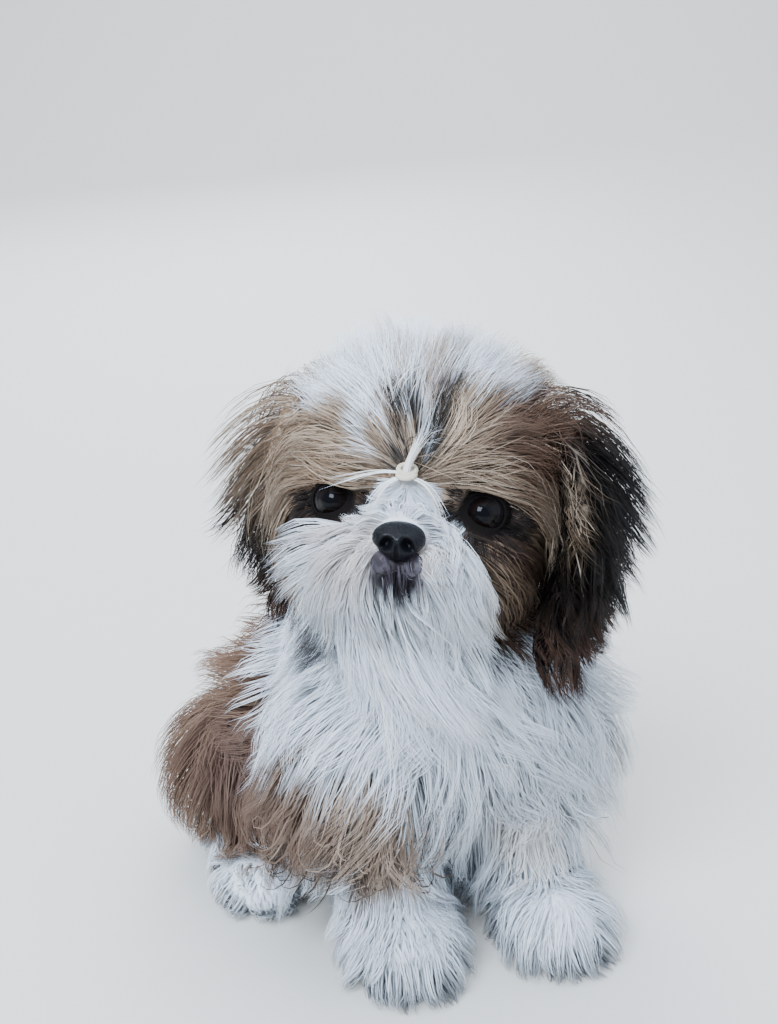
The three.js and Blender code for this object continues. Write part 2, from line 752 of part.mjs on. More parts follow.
// A solid's mesh without the edges too short to matter that crossing locks leave. An edge is
// closed up by moving one end onto the other, where the surface stays closed.
const SHORT_EDGE = 0.03;
function meshOf(solid) {
  const { vertProperties, triVerts } = solid.getMesh();
  const points = [];
  for (let i = 0; i < vertProperties.length; i += 3)
    points.push(v3(vertProperties[i], vertProperties[i + 1], vertProperties[i + 2]));
  const faces = [];
  const facesAt = points.map(() => new Set());
  for (let i = 0; i < triVerts.length; i += 3) {
    const face = [triVerts[i], triVerts[i + 1], triVerts[i + 2]];
    faces.push(face);
    for (const corner of face) facesAt[corner].add(face);
  }
  const around = (a) => new Set([...facesAt[a]].flat().filter((b) => b !== a));
  const closeUp = (a, b) => {
    const shared = [...around(a)].filter((c) => around(b).has(c));
    if (shared.length !== 2) return false;
    for (const face of [...facesAt[b]]) {
      if (face.includes(a)) {
        for (const corner of face) facesAt[corner].delete(face);
        face.length = 0;
      } else {
        face[face.indexOf(b)] = a;
        facesAt[a].add(face);
      }
    }
    facesAt[b].clear();
    return true;
  };
  for (const face of faces)
    for (let k = 0; k < face.length; k++) {
      const [a, b] = [face[k], face[(k + 1) % 3]];
      if (points[a].distanceTo(points[b]) < SHORT_EDGE && closeUp(a, b)) break;
    }
  return mergeVertices(geometryOf(points, faces.flat()).toNonIndexed(), 1e-5);
}

// The scene graph: each sub-part's mesh in its parent's frame.
for (const { name, parent, material, solid } of made) {
  const geometry = meshOf(solid).applyMatrix4(parent.matrixWorld.clone().invert());
  geometry.computeVertexNormals();
  const mesh = new THREE.Mesh(geometry, material);
  mesh.name = name;
  parent.add(mesh);
}

// The origin is on the floor, under the middle of the dog's bounding box.
dog.updateMatrixWorld(true);
const middle = new THREE.Box3().setFromObject(dog, true).getCenter(v3(0, 0, 0));
dog.position.set(-middle.x, -middle.y, 0);

export default dog;
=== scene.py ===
import functools
import math

import bpy
import numpy as np
from mathutils import Euler, Matrix, Vector


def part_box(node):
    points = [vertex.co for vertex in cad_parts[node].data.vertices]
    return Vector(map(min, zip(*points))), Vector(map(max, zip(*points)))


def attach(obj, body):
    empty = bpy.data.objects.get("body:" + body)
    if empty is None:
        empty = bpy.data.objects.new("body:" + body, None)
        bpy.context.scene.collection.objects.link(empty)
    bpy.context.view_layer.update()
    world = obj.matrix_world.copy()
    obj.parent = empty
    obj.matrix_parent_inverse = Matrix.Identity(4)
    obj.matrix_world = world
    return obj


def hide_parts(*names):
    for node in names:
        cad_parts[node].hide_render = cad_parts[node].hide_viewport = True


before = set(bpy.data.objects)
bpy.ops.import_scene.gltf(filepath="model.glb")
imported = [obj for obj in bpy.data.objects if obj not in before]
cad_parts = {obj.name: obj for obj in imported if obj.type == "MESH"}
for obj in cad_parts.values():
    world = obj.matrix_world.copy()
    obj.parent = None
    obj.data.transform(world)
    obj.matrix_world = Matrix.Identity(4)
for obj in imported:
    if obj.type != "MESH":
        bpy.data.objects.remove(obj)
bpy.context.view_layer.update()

bl_info = {
    "name": "Shih tzu puppy, still model",
    "version": (1, 0, 0),
    "blender": (4, 5, 0),
    "location": "3D View > Sidebar > Puppy",
    "description": "Builds the skin, coat, eyes, nose and lips of a life-size puppy over its solids",
    "category": "Object",
}

# Units: the named sizes of the body are in millimetres, and every mesh is in metres.
MM = 0.001
SEED = 20

# Head: its place on the body and its turn, then the forms of its bare shape.
HEAD_AT = np.array([-9.0, -39.0, 186.0])
HEAD_YAW = -36.0
HEAD_PITCH = -12.0
HEAD_ROLL = 3.0
SKULL_R = 40.0
EYE_AT = np.array([26.5, -27.0, -2.0])
NOSE_AT = np.array([0.0, -50.0, -13.0])
NOSE_ROOT = np.array([0.0, -44.0, -8.0])
BAND_ROOT = np.array([0.7, -42.0, 7.0])
MUZZLE_ROOT = np.array([0.0, -45.0, -10.0])
KNOT_AT = np.array([0.7, -48.7, 11.2])
HEAD_FORMS = [
    ((0, 1, 7), (SKULL_R, 42, 37)),
    ((20.8, -14, -15), (21, 25, 21)),
    ((-20.8, -14, -15), (21, 25, 21)),
    ((34, -12, -3), (12, 13, 14)),
    ((-34, -12, -3), (12, 13, 14)),
    ((0, -33, -12), (14, 16, 13)),
    ((10, -38, -22), (13, 12, 10.5)),
    ((-10, -38, -22), (13, 12, 10.5)),
    ((0, -33, -33), (13, 12, 9)),
]

# Ears: the line of each leather from root to tip, with half its width.
EAR_THICK = 4.5
EAR_DEEP = 9
EAR_FORM_COUNT = 11
EAR_LINES = {
    "ear_left": [
        (38, 4, 31, 10),
        (54, 5, 29, 16),
        (63, 4, 11, 21),
        (65, 2, -16, 20),
        (59, 0, -48, 10),
    ],
    "ear_right": [
        (-38, 4, 31, 10),
        (-52, 8, 29, 16),
        (-59, 16, 12, 20),
        (-60, 25, -12, 19),
        (-55, 32, -40, 9),
    ],
}

# Trunk, neck and limbs.
TORSO_FORMS = [
    ((8, -28, 98), (50, 38, 42)),
    ((0, 8, 84), (50, 48, 50)),
    ((0, 46, 50), (54, 44, 46)),
    ((34, -40, 84), (24, 26, 30)),
    ((-34, -40, 84), (24, 26, 30)),
]
NECK_FORMS = [((-3, -24, 134), (34, 32, 22)), ((-6, -31, 154), (32, 31, 18))]
FORE_REACH = {"foreleg_left": -83, "foreleg_right": -68}
TAIL_LINE = [(0, 84, 50, 9), (8, 104, 64, 9), (26, 108, 84, 8), (42, 92, 96, 7), (50, 74, 94, 5)]
TAIL_MIDDLE = np.array([14.0, 84.0, 74.0])
TAIL_FORM_COUNT = 11

# How sharply the forms blend into one body, and how far hair stays off the floor.
BLEND = 5.0
FLOOR_CLEAR = 0.5

# Camera: how the photograph was taken, in the body's millimetres.
CAMERA_AT = (-233.7, -437.5, 303.0)
CAMERA_TURN = 28.0
CAMERA_DIP = 15.0
CAMERA_LENS = 42.19
CAMERA_SENSOR = 36
CAMERA_NEAREST = 10


def ramp(x, low, high):
    """A smooth step from 0 at low to 1 at high."""
    t = np.clip((x - low) / (high - low), 0, 1)
    return t * t * (3 - 2 * t)


def lerp(a, b, share):
    return a + (b - a) * share


def unit(v):
    return v / np.maximum(np.linalg.norm(v, axis=-1, keepdims=True), 1e-9)


def linear(hex_colour):
    """An sRGB hex colour as linear red, green and blue."""
    parts = [int(hex_colour[i : i + 2], 16) / 255 for i in (1, 3, 5)]
    return [c / 12.92 if c <= 0.04045 else ((c + 0.055) / 1.055) ** 2.4 for c in parts]


def turn_about(axis, degrees):
    return np.array(Matrix.Rotation(math.radians(degrees), 3, axis))


HEAD_TURN = turn_about("Z", HEAD_YAW) @ turn_about("X", HEAD_PITCH) @ turn_about("Y", HEAD_ROLL)


def to_head(p):
    return (p - HEAD_AT) @ HEAD_TURN


def to_body(q):
    return q @ HEAD_TURN.T + HEAD_AT


def head_way(v):
    """A direction in the head's frame, as one in the body's."""
    return v @ HEAD_TURN.T


HEAD_DOWN = np.array([0.0, 0.0, -1.0]) @ HEAD_TURN
SIDES = ((1, "left"), (-1, "right"))
EYE_TURN = np.array([0.2, -1.0, 0.05])


def eye_place(side):
    return np.array([side * EYE_AT[0], EYE_AT[1], EYE_AT[2]])


def eye_gaze(side):
    """The way that an eye looks, in the head's frame."""
    return unit(np.array([side, 1, 1]) * EYE_TURN)


def eye_distance(q):
    """How far each point is from the nearer eye's middle."""
    return np.minimum(*[np.linalg.norm(q - eye_place(side), axis=1) for side, _ in SIDES])


# How far the body's frame is shifted in the shared frame, from where the left eye's solid is.
EYE_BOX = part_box("eye_left")
EYE_SEEN = np.array((EYE_BOX[0] + EYE_BOX[1]) / 2) / MM
SHIFT = (EYE_SEEN - to_body(EYE_AT)) * np.array([1, 1, 0])


def metres(p):
    return (np.asarray(p, float) + SHIFT) * MM


def from_metres(p):
    return np.asarray(p, float) / MM - SHIFT


def spline(stations, count):
    """Points on a smooth line through the stations, all columns alike."""
    s = np.array(stations, float)
    padded = np.vstack([2 * s[0] - s[1], s, 2 * s[-1] - s[-2]])
    found = []
    for u in np.linspace(0, len(s) - 1, count):
        i = min(int(u), len(s) - 2)
        t = u - i
        a, b, c, d = padded[i : i + 4]
        square = 2 * a - 5 * b + 4 * c - d
        cube = 3 * b - a - 3 * c + d
        found.append(0.5 * (2 * b + (c - a) * t + square * t**2 + cube * t**3))
    return np.array(found)


# Coat depths: how far the hair stands over the bare skin, in millimetres.
def head_depth(q):
    y, z = q[:, 1], q[:, 2]
    front = ramp(-y, 6, 28)
    brow = ramp(z, 8, 22)
    low = ramp(-z, 14, 34)
    crown = ramp(z, 26, 44)
    return lerp(lerp(23, 17, front) + 5 * crown, 6, front * (1 - brow) * (1 - 0.6 * low))


def torso_depth(p):
    front = ramp(-p[:, 1], -10, 40)
    return lerp(16, 29, front * ramp(p[:, 2], 30, 70)) + 14 * front * ramp(p[:, 0], 14, 50)


def neck_depth(p):
    return np.full(len(p), 20.0)


def ear_depth(q):
    """Bushy outside and behind, thin at the upper front, where the brow's hair lies over it."""
    return lerp(24, 8, ramp(-q[:, 1], -4, 12) * ramp(q[:, 2], -24, 0))


def tail_depth(p):
    return np.full(len(p), 14.0)


def foreleg_depth(p):
    return lerp(14, 7, ramp(p[:, 2], 16, 44))


def hindleg_depth(p):
    return lerp(8, 19, ramp(p[:, 2], 8, 34))


def foreleg_forms(side, reach):
    return [
        ((side * 36, -46, 62), (16, 18, 22)),
        ((side * 34, 0.4 * reach - 32, 36), (14, 14, 20)),
        ((side * 31, reach, 13), (18, 21, 13)),
    ]


def hindleg_forms(side):
    return [
        ((side * 51, 42, 46), (28, 38, 34)),
        ((side * 60, 26, 18), (14, 20, 14)),
        ((side * 65, 5, 11), (14, 24, 11)),
    ]


def ear_forms(name):
    line = spline(EAR_LINES[name], EAR_FORM_COUNT)
    return [((x, y, z), (EAR_THICK, wide, EAR_DEEP)) for x, y, z, wide in line]


def tail_forms():
    return [((x, y, z), (r, r, r)) for x, y, z, r in spline(TAIL_LINE, TAIL_FORM_COUNT)]


PARTS = {
    "head": (True, HEAD_FORMS, head_depth),
    "ear_left": (True, ear_forms("ear_left"), ear_depth),
    "ear_right": (True, ear_forms("ear_right"), ear_depth),
    "neck": (False, NECK_FORMS, neck_depth),
    "torso": (False, TORSO_FORMS, torso_depth),
    "foreleg_left": (False, foreleg_forms(1, FORE_REACH["foreleg_left"]), foreleg_depth),
    "foreleg_right": (False, foreleg_forms(-1, FORE_REACH["foreleg_right"]), foreleg_depth),
    "hindleg_left": (False, hindleg_forms(1), hindleg_depth),
    "hindleg_right": (False, hindleg_forms(-1), hindleg_depth),
    "tail": (False, tail_forms(), tail_depth),
}
PART_NAMES = list(PARTS)
EAR_PARTS = [PART_NAMES.index("ear_left"), PART_NAMES.index("ear_right")]
FORM_ROWS = [(i, PARTS[n][0], c, r) for i, n in enumerate(PART_NAMES) for c, r in PARTS[n][1]]
FORM_PART = np.array([row[0] for row in FORM_ROWS])
FORM_TURNED = np.array([row[1] for row in FORM_ROWS])
FORM_CENTRE = np.array([row[2] for row in FORM_ROWS], float)
FORM_RADII = np.array([row[3] for row in FORM_ROWS], float)


SMALLEST_RHO = 0.02
SMALLEST_SLOPE = 1e-6


def look(p):
    """Height over the bare skin, outward normal, coat depth and the parts' shares at each point."""
    q = to_head(p)
    own = np.where(FORM_TURNED[None, :, None], q[:, None, :], p[:, None, :])
    d = (own - FORM_CENTRE) / FORM_RADII
    power = BLEND * (1 - (d**2).sum(2))
    top = power.max(1, keepdims=True)
    share = np.exp(power - top)
    total = share.sum(1, keepdims=True)
    level = (top + np.log(total))[:, 0]
    share /= total
    rho = np.sqrt(np.maximum(1 - level / BLEND, SMALLEST_RHO))
    pull = share[:, :, None] * d / FORM_RADII
    slope = head_way(pull[:, FORM_TURNED].sum(1)) + pull[:, ~FORM_TURNED].sum(1)
    slope /= rho[:, None]
    steep = np.linalg.norm(slope, axis=1)
    steep = np.maximum(steep, SMALLEST_SLOPE)
    height = (rho - 1) / steep
    held = np.stack([share[:, FORM_PART == i].sum(1) for i in range(len(PART_NAMES))], 1)
    depths = np.stack([PARTS[n][2](q if PARTS[n][0] else p) for n in PART_NAMES], 1)
    return height, slope / steep[:, None], (held * depths).sum(1), held


CHUNKS = 24


def nearest_part(p):
    """The number of the part that has the largest share at each point."""
    return np.concatenate([look(some)[3].argmax(1) for some in np.array_split(p, CHUNKS)])


# Markings. Each takes points in its own frame, a chance from 0 to 1 for each hair, and the inks.
def mix(a, b, share):
    return a + (b - a) * np.clip(share, 0, 1)[:, None]


def all_over(colour, p):
    return np.tile(colour, (len(p), 1))


def patch(p, centre, radii, soft=0.3):
    """1 inside a round patch and 0 outside it, with a soft edge."""
    away = np.linalg.norm((p - np.array(centre)) / np.array(radii), axis=1)
    return 1 - ramp(away, 1 - soft, 1 + soft)


STRIPE_DEPTH = np.array([1.0, 0.15, 1.0])


def stripe(p, start, end, radius, soft=0.4):
    """1 near the line from start to end, seen from the front, and 0 away from it."""
    p = p * STRIPE_DEPTH
    a = np.array(start) * STRIPE_DEPTH
    way = np.array(end) * STRIPE_DEPTH - a
    along = np.clip(((p - a) @ way) / (way @ way), 0, 1)
    away = np.linalg.norm(p - a - along[:, None] * way, axis=1) / radius
    return 1 - ramp(away, 1 - soft, 1 + soft)


def ripple(p, size, phase=0.0):
    """Soft noise from -1 to 1, with patches about that many millimetres across."""
    k = 2 * math.pi / size
    x, y, z = (p * k).T
    a = np.sin(0.61 * x + 0.37 * z + 1.3 * np.sin(0.43 * y + phase) + phase)
    b = np.sin(0.53 * y - 0.41 * x + 1.1 * np.sin(0.57 * z + 2.1 + phase))
    c = np.sin(0.47 * z + 0.52 * y + 1.2 * np.sin(0.49 * x + 4.2 - phase))
    return (a + b + c) / 3


# The white crown's lower edge: its height across the head, and its half width from front to back.
WHITE_EDGE = np.array([
    (-75, 22), (-58, 24), (-46, 30), (-34, 35), (-24, 36), (-20.5, 32), (-19, 16),
    (-15, 16), (-13, 37), (-4, 39), (3.4, 38), (4.2, 17), (6.6, 17), (7.6, 40),
    (12, 50), (20, 46), (43, 42), (52, 52), (60, 64), (75, 80),
])
WHITE_WIDTH = np.array([(-60, 70), (-10, 46), (10, 34), (30, 24), (60, 16)])


def crown_marks(q, chance, ink):
    """Top of the head: a white crown, two dark marks over the band, and grizzled brows."""
    x, y, z = q.T
    colour = mix(all_over(ink["taupe"], q), ink["tan"], ramp(x, -5, 12))
    colour = mix(colour, ink["umber"], 0.62 * (chance < lerp(0.3, 0.42, ramp(x, 0, 30))))
    colour = mix(colour, ink["cream"], 0.55 * (chance > 0.7))
    outer = patch(q, (53, -19, 32), (27, 28, 28), 0.5)
    colour = mix(colour, ink["brown"], 0.95 * outer * (chance < 0.88))
    colour = mix(colour, ink["umber"], 0.8 * outer * (chance < 0.55))
    colour = mix(colour, ink["brown"], 0.5 * patch(q, (-60, -12, 12), (18, 22, 14), 0.5) * (chance < 0.6))
    ends = patch(q, (66, -24, -14), (16, 20, 16), 0.5) + patch(q, (-62, -22, -14), (14, 20, 16), 0.5)
    colour = mix(colour, ink["cream"], 0.6 * ends * (chance > 0.4))
    colour = mix(colour, ink["umber"], ramp(y, 4, 22))
    edge = np.interp(x, *WHITE_EDGE.T)
    width = np.interp(y, *WHITE_WIDTH.T)
    white = ramp(z, edge - 1.5, edge + 3) * (1 - ramp(np.abs(x + 6), width - 4, width + 4))
    white = np.maximum(white, ramp(y, 6, 14) * (1 - ramp(np.abs(x + 4), width - 4, width + 2)))
    colour = mix(colour, ink["white"], white * (chance < 0.93))
    colour = mix(colour, ink["beige"], 0.32 * white * (chance > 0.7))
    forward = 1 - ramp(y, -16, 6)
    streak = stripe(q, (9, -40, 46), (5, -6, 62), 6.5, 0.6) * (chance > 0.25) * forward
    colour = mix(colour, ink["taupe"], 0.85 * streak)
    colour = mix(colour, ink["umber"], 0.6 * streak * (chance > 0.75))
    thin = stripe(q, (-7, -44, 34), (-9, -6, 60), 4.5, 0.6) * (chance > 0.5) * forward
    colour = mix(colour, ink["taupe"], 0.75 * thin)
    marks = stripe(q, (-2.0, -50, 40), (-0.2, -50, 12), 5.2, 0.4)
    marks = np.maximum(marks, stripe(q, (12.2, -43, 46), (9.0, -50, 22), 4.0, 0.5)) * forward
    return mix(colour, ink["black"], 0.95 * marks * (chance > 0.06))


def cheek_marks(q, chance, ink):
    """Cheeks and the rims of the eyes: dark brown, nearly black."""
    colour = mix(all_over(ink["dark"], q), ink["umber"], 0.5 * (chance > 0.5))
    colour = mix(colour, ink["taupe"], 0.55 * patch(q, (46, -32, -30), (22, 26, 28), 0.5) * (chance < 0.55))
    colour = mix(colour, ink["taupe"], 0.6 * patch(q, (-56, -10, -36), (18, 26, 18), 0.5))
    for side in (1, -1):
        rim = patch(q, (side * 27, -36, -3), (17, 20, 15), 0.3)
        colour = mix(colour, ink["black"], 0.85 * rim)
    return colour


def muzzle_marks(q, chance, ink):
    """Muzzle and beard: white, beige beside the nose, dark at the mouth, with some dark ends below."""
    colour = mix(all_over(ink["white"], q), ink["cream"], 0.5 * (chance > 0.82))
    colour = mix(colour, ink["beige"], 0.7 * patch(q, (-20, -42, -22), (17, 26, 18), 0.5) * (chance > 0.2))
    colour = mix(colour, ink["beige"], 0.5 * patch(q, (10, -52, -19), (7, 12, 7), 0.6))
    for side, reach in ((-1, 0.3), (1, 0.62)):
        ends = patch(q, (side * 38, -29, -60), (17, 46, 14), 0.4)
        colour = mix(colour, ink["black"], 0.92 * ends * (chance > reach))
    colour = mix(colour, ink["umber"], 0.8 * patch(q, (-55, -22, -50), (9, 40, 22), 0.4) * (chance > 0.3))
    colour = mix(colour, ink["tan"], 0.7 * patch(q, (42, -30, -34), (12, 30, 16), 0.4) * (chance > 0.45))
    colour = mix(colour, ink["beige"], 0.5 * patch(q, (0, -48, -17), (17, 18, 10), 0.5))
    colour = mix(colour, ink["lip"], 0.97 * patch(q, (0, -49, -25), (9.5, 14, 10.5), 0.3))
    colour = mix(colour, ink["black"], 0.6 * patch(q, (0, -49, -26.5), (7, 14, 3), 0.5))
    return mix(colour, ink["black"], 0.55 * patch(q, (-1, -49, -30.5), (7, 14, 5), 0.5))


def bridge_marks(q, chance, ink):
    """Between the eyes: white, a little cream towards the band."""
    colour = mix(all_over(ink["white"], q), ink["cream"], 0.5 * ramp(q[:, 2], 2, 12) * (chance > 0.5))
    return mix(colour, ink["beige"], 0.5 * ramp(np.abs(q[:, 0]), 9, 14) * (chance > 0.3))


def rim_marks(q, chance, ink):
    """Short hair round the eyes: black, browner outwards."""
    away = eye_distance(q)
    colour = mix(all_over(ink["black"], q), ink["dark"], ramp(away, 12, 19))
    colour = mix(colour, ink["umber"], 0.4 * (chance > 0.75))
    return mix(colour, ink["white"], patch(q, (0, -42, -22), (23, 30, 20), 0.1))


def face_marks(q, chance, ink):
    """The head's bare skin, which shows between the hairs."""
    z_low = 3 - 0.25 * np.abs(q[:, 0])
    above = ramp(q[:, 2], z_low - 2, z_low + 6)
    colour = mix(cheek_marks(q, chance, ink), crown_marks(q, chance, ink), above)
    inside = patch(q, (0, -42, -22), (25, 30, 22), 0.12)
    colour = mix(colour, muzzle_marks(q, chance, ink), inside)
    away = eye_distance(q)
    return mix(colour, ink["black"], 1 - ramp(away, 11.5, 13.5))


def ear_marks(q, chance, ink):
    """Ears: nearly black, browner at the ends and along the hind edge."""
    x, y, z = q.T
    colour = mix(all_over(ink["black"], q), ink["dark"], 0.7 * (chance > 0.5))
    colour = mix(colour, ink["umber"], 0.6 * ramp(-z, 26, 56) * (chance > 0.3))
    colour = mix(colour, ink["brown"], 0.8 * ramp(z, 22, 40) * ramp(-y, -24, 8))
    draped = ramp(z, -26, -12) * (x < 0) * ramp(-y, -30, -14)
    colour = mix(colour, crown_marks(q * np.array([1, 1, 0.5]), chance, ink), draped)
    fan = patch(q, (58, -29, 0), (10, 14, 22), 0.4)
    colour = mix(colour, ink["taupe"], 0.85 * fan * (chance > 0.14))
    colour = mix(colour, ink["cream"], 0.4 * fan * (chance > 0.6))
    hind = ramp(y, 16, 34) * ramp(-z, 16, 40) * (x > 0)
    return mix(colour, ink["rust"], 0.7 * hind * (chance > 0.4))


# The saddle's upper edge: its height along the body.
SADDLE_EDGE = np.array(
    [(-90, 80), (-60, 84), (-40, 88), (-12, 92), (0, 102), (13, 117), (30, 138), (45, 170), (60, 216)]
)


def body_marks(p, chance, ink):
    """Trunk and legs: a chestnut saddle and haunches, a white front, a golden fringe, white feet."""
    x, y, z = p.T
    colour = all_over(ink["chestnut"], p)
    colour = mix(colour, ink["tan"], 0.45 * ramp(ripple(p, 60), 0.1, 0.7) * (chance > 0.35))
    colour = mix(colour, ink["taupe"], 0.5 * (chance > 0.68))
    colour = mix(colour, ink["umber"], 0.5 * ramp(-ripple(p, 44, 1.7), 0.0, 0.6))
    colour = mix(colour, ink["plum"], 0.6 * patch(p, (-80, -10, 62), (30, 46, 32), 0.5))
    colour = mix(colour, ink["rust"], 0.7 * patch(p, (-30, 50, 120), (60, 40, 36), 0.5))
    low_front = ramp(-y, 44, 62) * (1 - ramp(z, 82, 88)) * ramp(z, 30, 42)
    ragged = x + 9 * ripple(p, 22)
    golden = ramp(ragged, -82, -62) * (1 - ramp(ragged, -34, -18))
    colour = mix(colour, ink["gold"], low_front * golden)
    colour = mix(colour, ink["umber"], 0.5 * low_front * (chance < 0.25))
    edge = np.interp(y, *SADDLE_EDGE.T) - 60 * ramp(x, -42, -22) * ramp(-y, 10, 50)
    edge = edge - 16 * ramp(x, 0, 40) * ramp(-y, -30, 20)
    colour = mix(colour, ink["white"], ramp(z, edge - 2, edge + 3))
    colour = mix(colour, ink["beige"], 0.28 * ramp(z, edge, edge + 3) * (chance > 0.75))
    colour = mix(colour, ink["beige"], 0.45 * patch(p, (-14, -84, 108), (12, 20, 10), 0.7))
    feet = np.where(y < -36, 1 - ramp(z, 34, 42), 1 - ramp(z, 19, 25))
    colour = mix(colour, ink["white"], feet)
    inner = patch(p, (22, -76, 46), (18, 24, 12), 0.5)
    return mix(colour, ink["cream"], 0.5 * inner)


def fringe_marks(p, chance, ink):
    """Curled strands of the fringe: golden brown above, nearly black in the curl."""
    colour = mix(all_over(ink["gold"], p), ink["umber"], 0.6 * (chance > 0.4))
    return mix(colour, ink["black"], 0.85 * ramp(-p[:, 2], -60, -44) * (chance > 0.25))


def tail_marks(p, chance, ink):
    """Tail: chestnut at the root and white at the tip."""
    colour = mix(all_over(ink["chestnut"], p), ink["umber"], 0.6 * (chance > 0.6))
    return mix(colour, ink["white"], ramp(p[:, 0], 20, 42))


# Lie of the coat. Each takes points in the body's frame and gives the way that the hair runs.
def head_comb(p, normal):
    """Away from the band on the forehead and from the nose below it, falling at the sides."""
    q = to_head(p)
    x, y, z = q.T
    away = unit(mix(unit(q - NOSE_ROOT), unit(q - BAND_ROOT), ramp(z, -8, 4)))
    front = ramp(-y, 8, 34)
    top = ramp(z, 0, 26)
    low = ramp(-z, 12, 40)
    side = ramp(np.abs(x), 36, 70)
    away[:, 1] += 0.2 * (1 - front)
    fall = 0.1 + 0.8 * (1 - front) * (1 - top) + 0.6 * low + 0.5 * side
    return head_way(away + fall[:, None] * HEAD_DOWN)


def muzzle_comb(p, normal):
    """Away from the nose and down, most of all in the beard."""
    q = to_head(p)
    x, z = q[:, 0], q[:, 2]
    away = unit(q - MUZZLE_ROOT)
    fall = 0.22 + 0.55 * ramp(-z, 18, 58) + 0.3 * ramp(x, 6, 26)
    return head_way(away + fall[:, None] * HEAD_DOWN)


EAR_SPREAD = 13.0
EAR_MARKS = 24


def ear_comb_for(name):
    """Along the ear's line and outwards from it, falling more and more towards the tip."""
    marks = to_body(spline([s[:3] for s in EAR_LINES[name]], EAR_MARKS))

    def comb(p, normal):
        nearest = ((p[:, None, :] - marks[None]) ** 2).sum(2).argmin(1)
        share = nearest / (len(marks) - 1)
        ahead = marks[np.minimum(nearest + 1, len(marks) - 1)] - marks[np.maximum(nearest - 1, 0)]
        fall = np.array([0, 0, -1.0]) * (0.7 + 0.5 * share)[:, None]
        aside = (p - marks[nearest]) / EAR_SPREAD * (0.3 + share[:, None])
        return unit(ahead) + fall + aside + 1.1 * normal * (1 - 0.35 * share)[:, None]

    return comb


def neck_comb(p, normal):
    return np.column_stack([0.3 * normal[:, 0], 0.3 * normal[:, 1], np.full(len(p), -1.0)])


def torso_comb(p, normal):
    lie = np.column_stack([0.006 * p[:, 0], 0.8 * ramp(p[:, 1], -20, 50), np.full(len(p), -1.0)])
    return lie + 0.35 * normal


def leg_comb(p, normal):
    """Down the leg, and outwards on the foot."""
    low = ramp(-p[:, 2], -34, -12)
    out = 0.5 + 0.55 * low
    return np.column_stack([out * normal[:, 0], out * normal[:, 1] - 0.25, 0.35 * low - 1])


def tail_comb(p, normal):
    return unit(p - TAIL_MIDDLE) + np.array([0.4, 0.0, -0.9])


# Meshes and materials.
def choose_none():
    if bpy.context.object and bpy.context.object.mode != "OBJECT":
        bpy.ops.object.mode_set(mode="OBJECT")
    bpy.ops.object.select_all(action="DESELECT")


def choose(*pieces):
    choose_none()
    for piece in pieces:
        piece.select_set(True)
    bpy.context.view_layer.objects.active = pieces[0]


def join(pieces, name):
    """One object of several, named, with its place in its mesh."""
    choose(*pieces)
    if len(pieces) > 1:
        bpy.ops.object.join()
    piece = bpy.context.object
    piece.name = name
    piece.data.name = name
    bpy.ops.object.transform_apply(location=True, rotation=True, scale=True)
    return piece


def apply_modifier(piece, kind, **settings):
    choose(piece)
    modifier = piece.modifiers.new(kind.title(), kind)
    for key, value in settings.items():
        setattr(modifier, key, value)
    bpy.ops.object.modifier_apply(modifier=modifier.name)


def read_points(piece):
    flat = np.zeros(len(piece.data.vertices) * 3, np.float32)
    piece.data.vertices.foreach_get("co", flat)
    return flat.reshape(-1, 3).astype(float)


def write_points(piece, points):
    piece.data.vertices.foreach_set("co", np.asarray(points, np.float32).ravel())
    piece.data.update()


def paint(piece, colours):
    """The marking of each point, kept with the mesh as a colour attribute."""
    layer = piece.data.color_attributes.new("marking", "FLOAT_COLOR", "POINT")
    rows = np.ones((len(colours), 4), np.float32)
    rows[:, :3] = np.clip(colours, 0, 1)
    layer.data.foreach_set("color", rows.ravel())


def set_shade(piece, name, values):
    layer = piece.data.attributes.new(name, "FLOAT", "POINT")
    layer.data.foreach_set("value", np.asarray(values, np.float32))


def shade_smooth(piece):
    choose(piece)
    bpy.ops.object.shade_smooth()


def add_node(tree, kind, values=None, links=None, stops=()):
    """A node with its settings, its sockets' values, links from other nodes and a ramp's stops."""
    node = tree.nodes.new(kind)
    for key, value in (values or {}).items():
        if key in node.inputs:
            node.inputs[key].default_value = value
        else:
            setattr(node, key, value)
    for key, (source, output) in (links or {}).items():
        tree.links.new(source.outputs[output], node.inputs[key])
    for i, (place, colour) in enumerate(stops):
        stop = node.color_ramp.elements[i] if i < 2 else node.color_ramp.elements.new(place)
        stop.position = place
        stop.color = (*colour, 1)
    return node


def new_material(name):
    material = bpy.data.materials.new(name)
    material.use_nodes = True
    tree = material.node_tree
    tree.nodes.clear()
    return material, tree


def shades(tree, pattern, colour, dark, light=1.0):
    """One colour between a darker and a lighter shade of it, along a pattern."""
    stops = [(place, [c * share for c in colour]) for place, share in ((0, dark), (1, light))]
    return add_node(tree, "ShaderNodeValToRGB", links={"Fac": pattern}, stops=stops), "Color"


def grained_marking(tree, grain, dark, light):
    """The marking of each point, made darker and lighter by a grain."""
    mark = add_node(tree, "ShaderNodeAttribute", {"attribute_name": "marking"})
    share = add_node(
        tree,
        "ShaderNodeMapRange",
        {"From Min": 0.3, "From Max": 0.7, "To Min": dark, "To Max": light},
        {"Value": grain},
    )
    factors = {0: (mark, "Color"), 1: (share, "Result")}
    return add_node(tree, "ShaderNodeVectorMath", {"operation": "MULTIPLY"}, factors), "Vector"


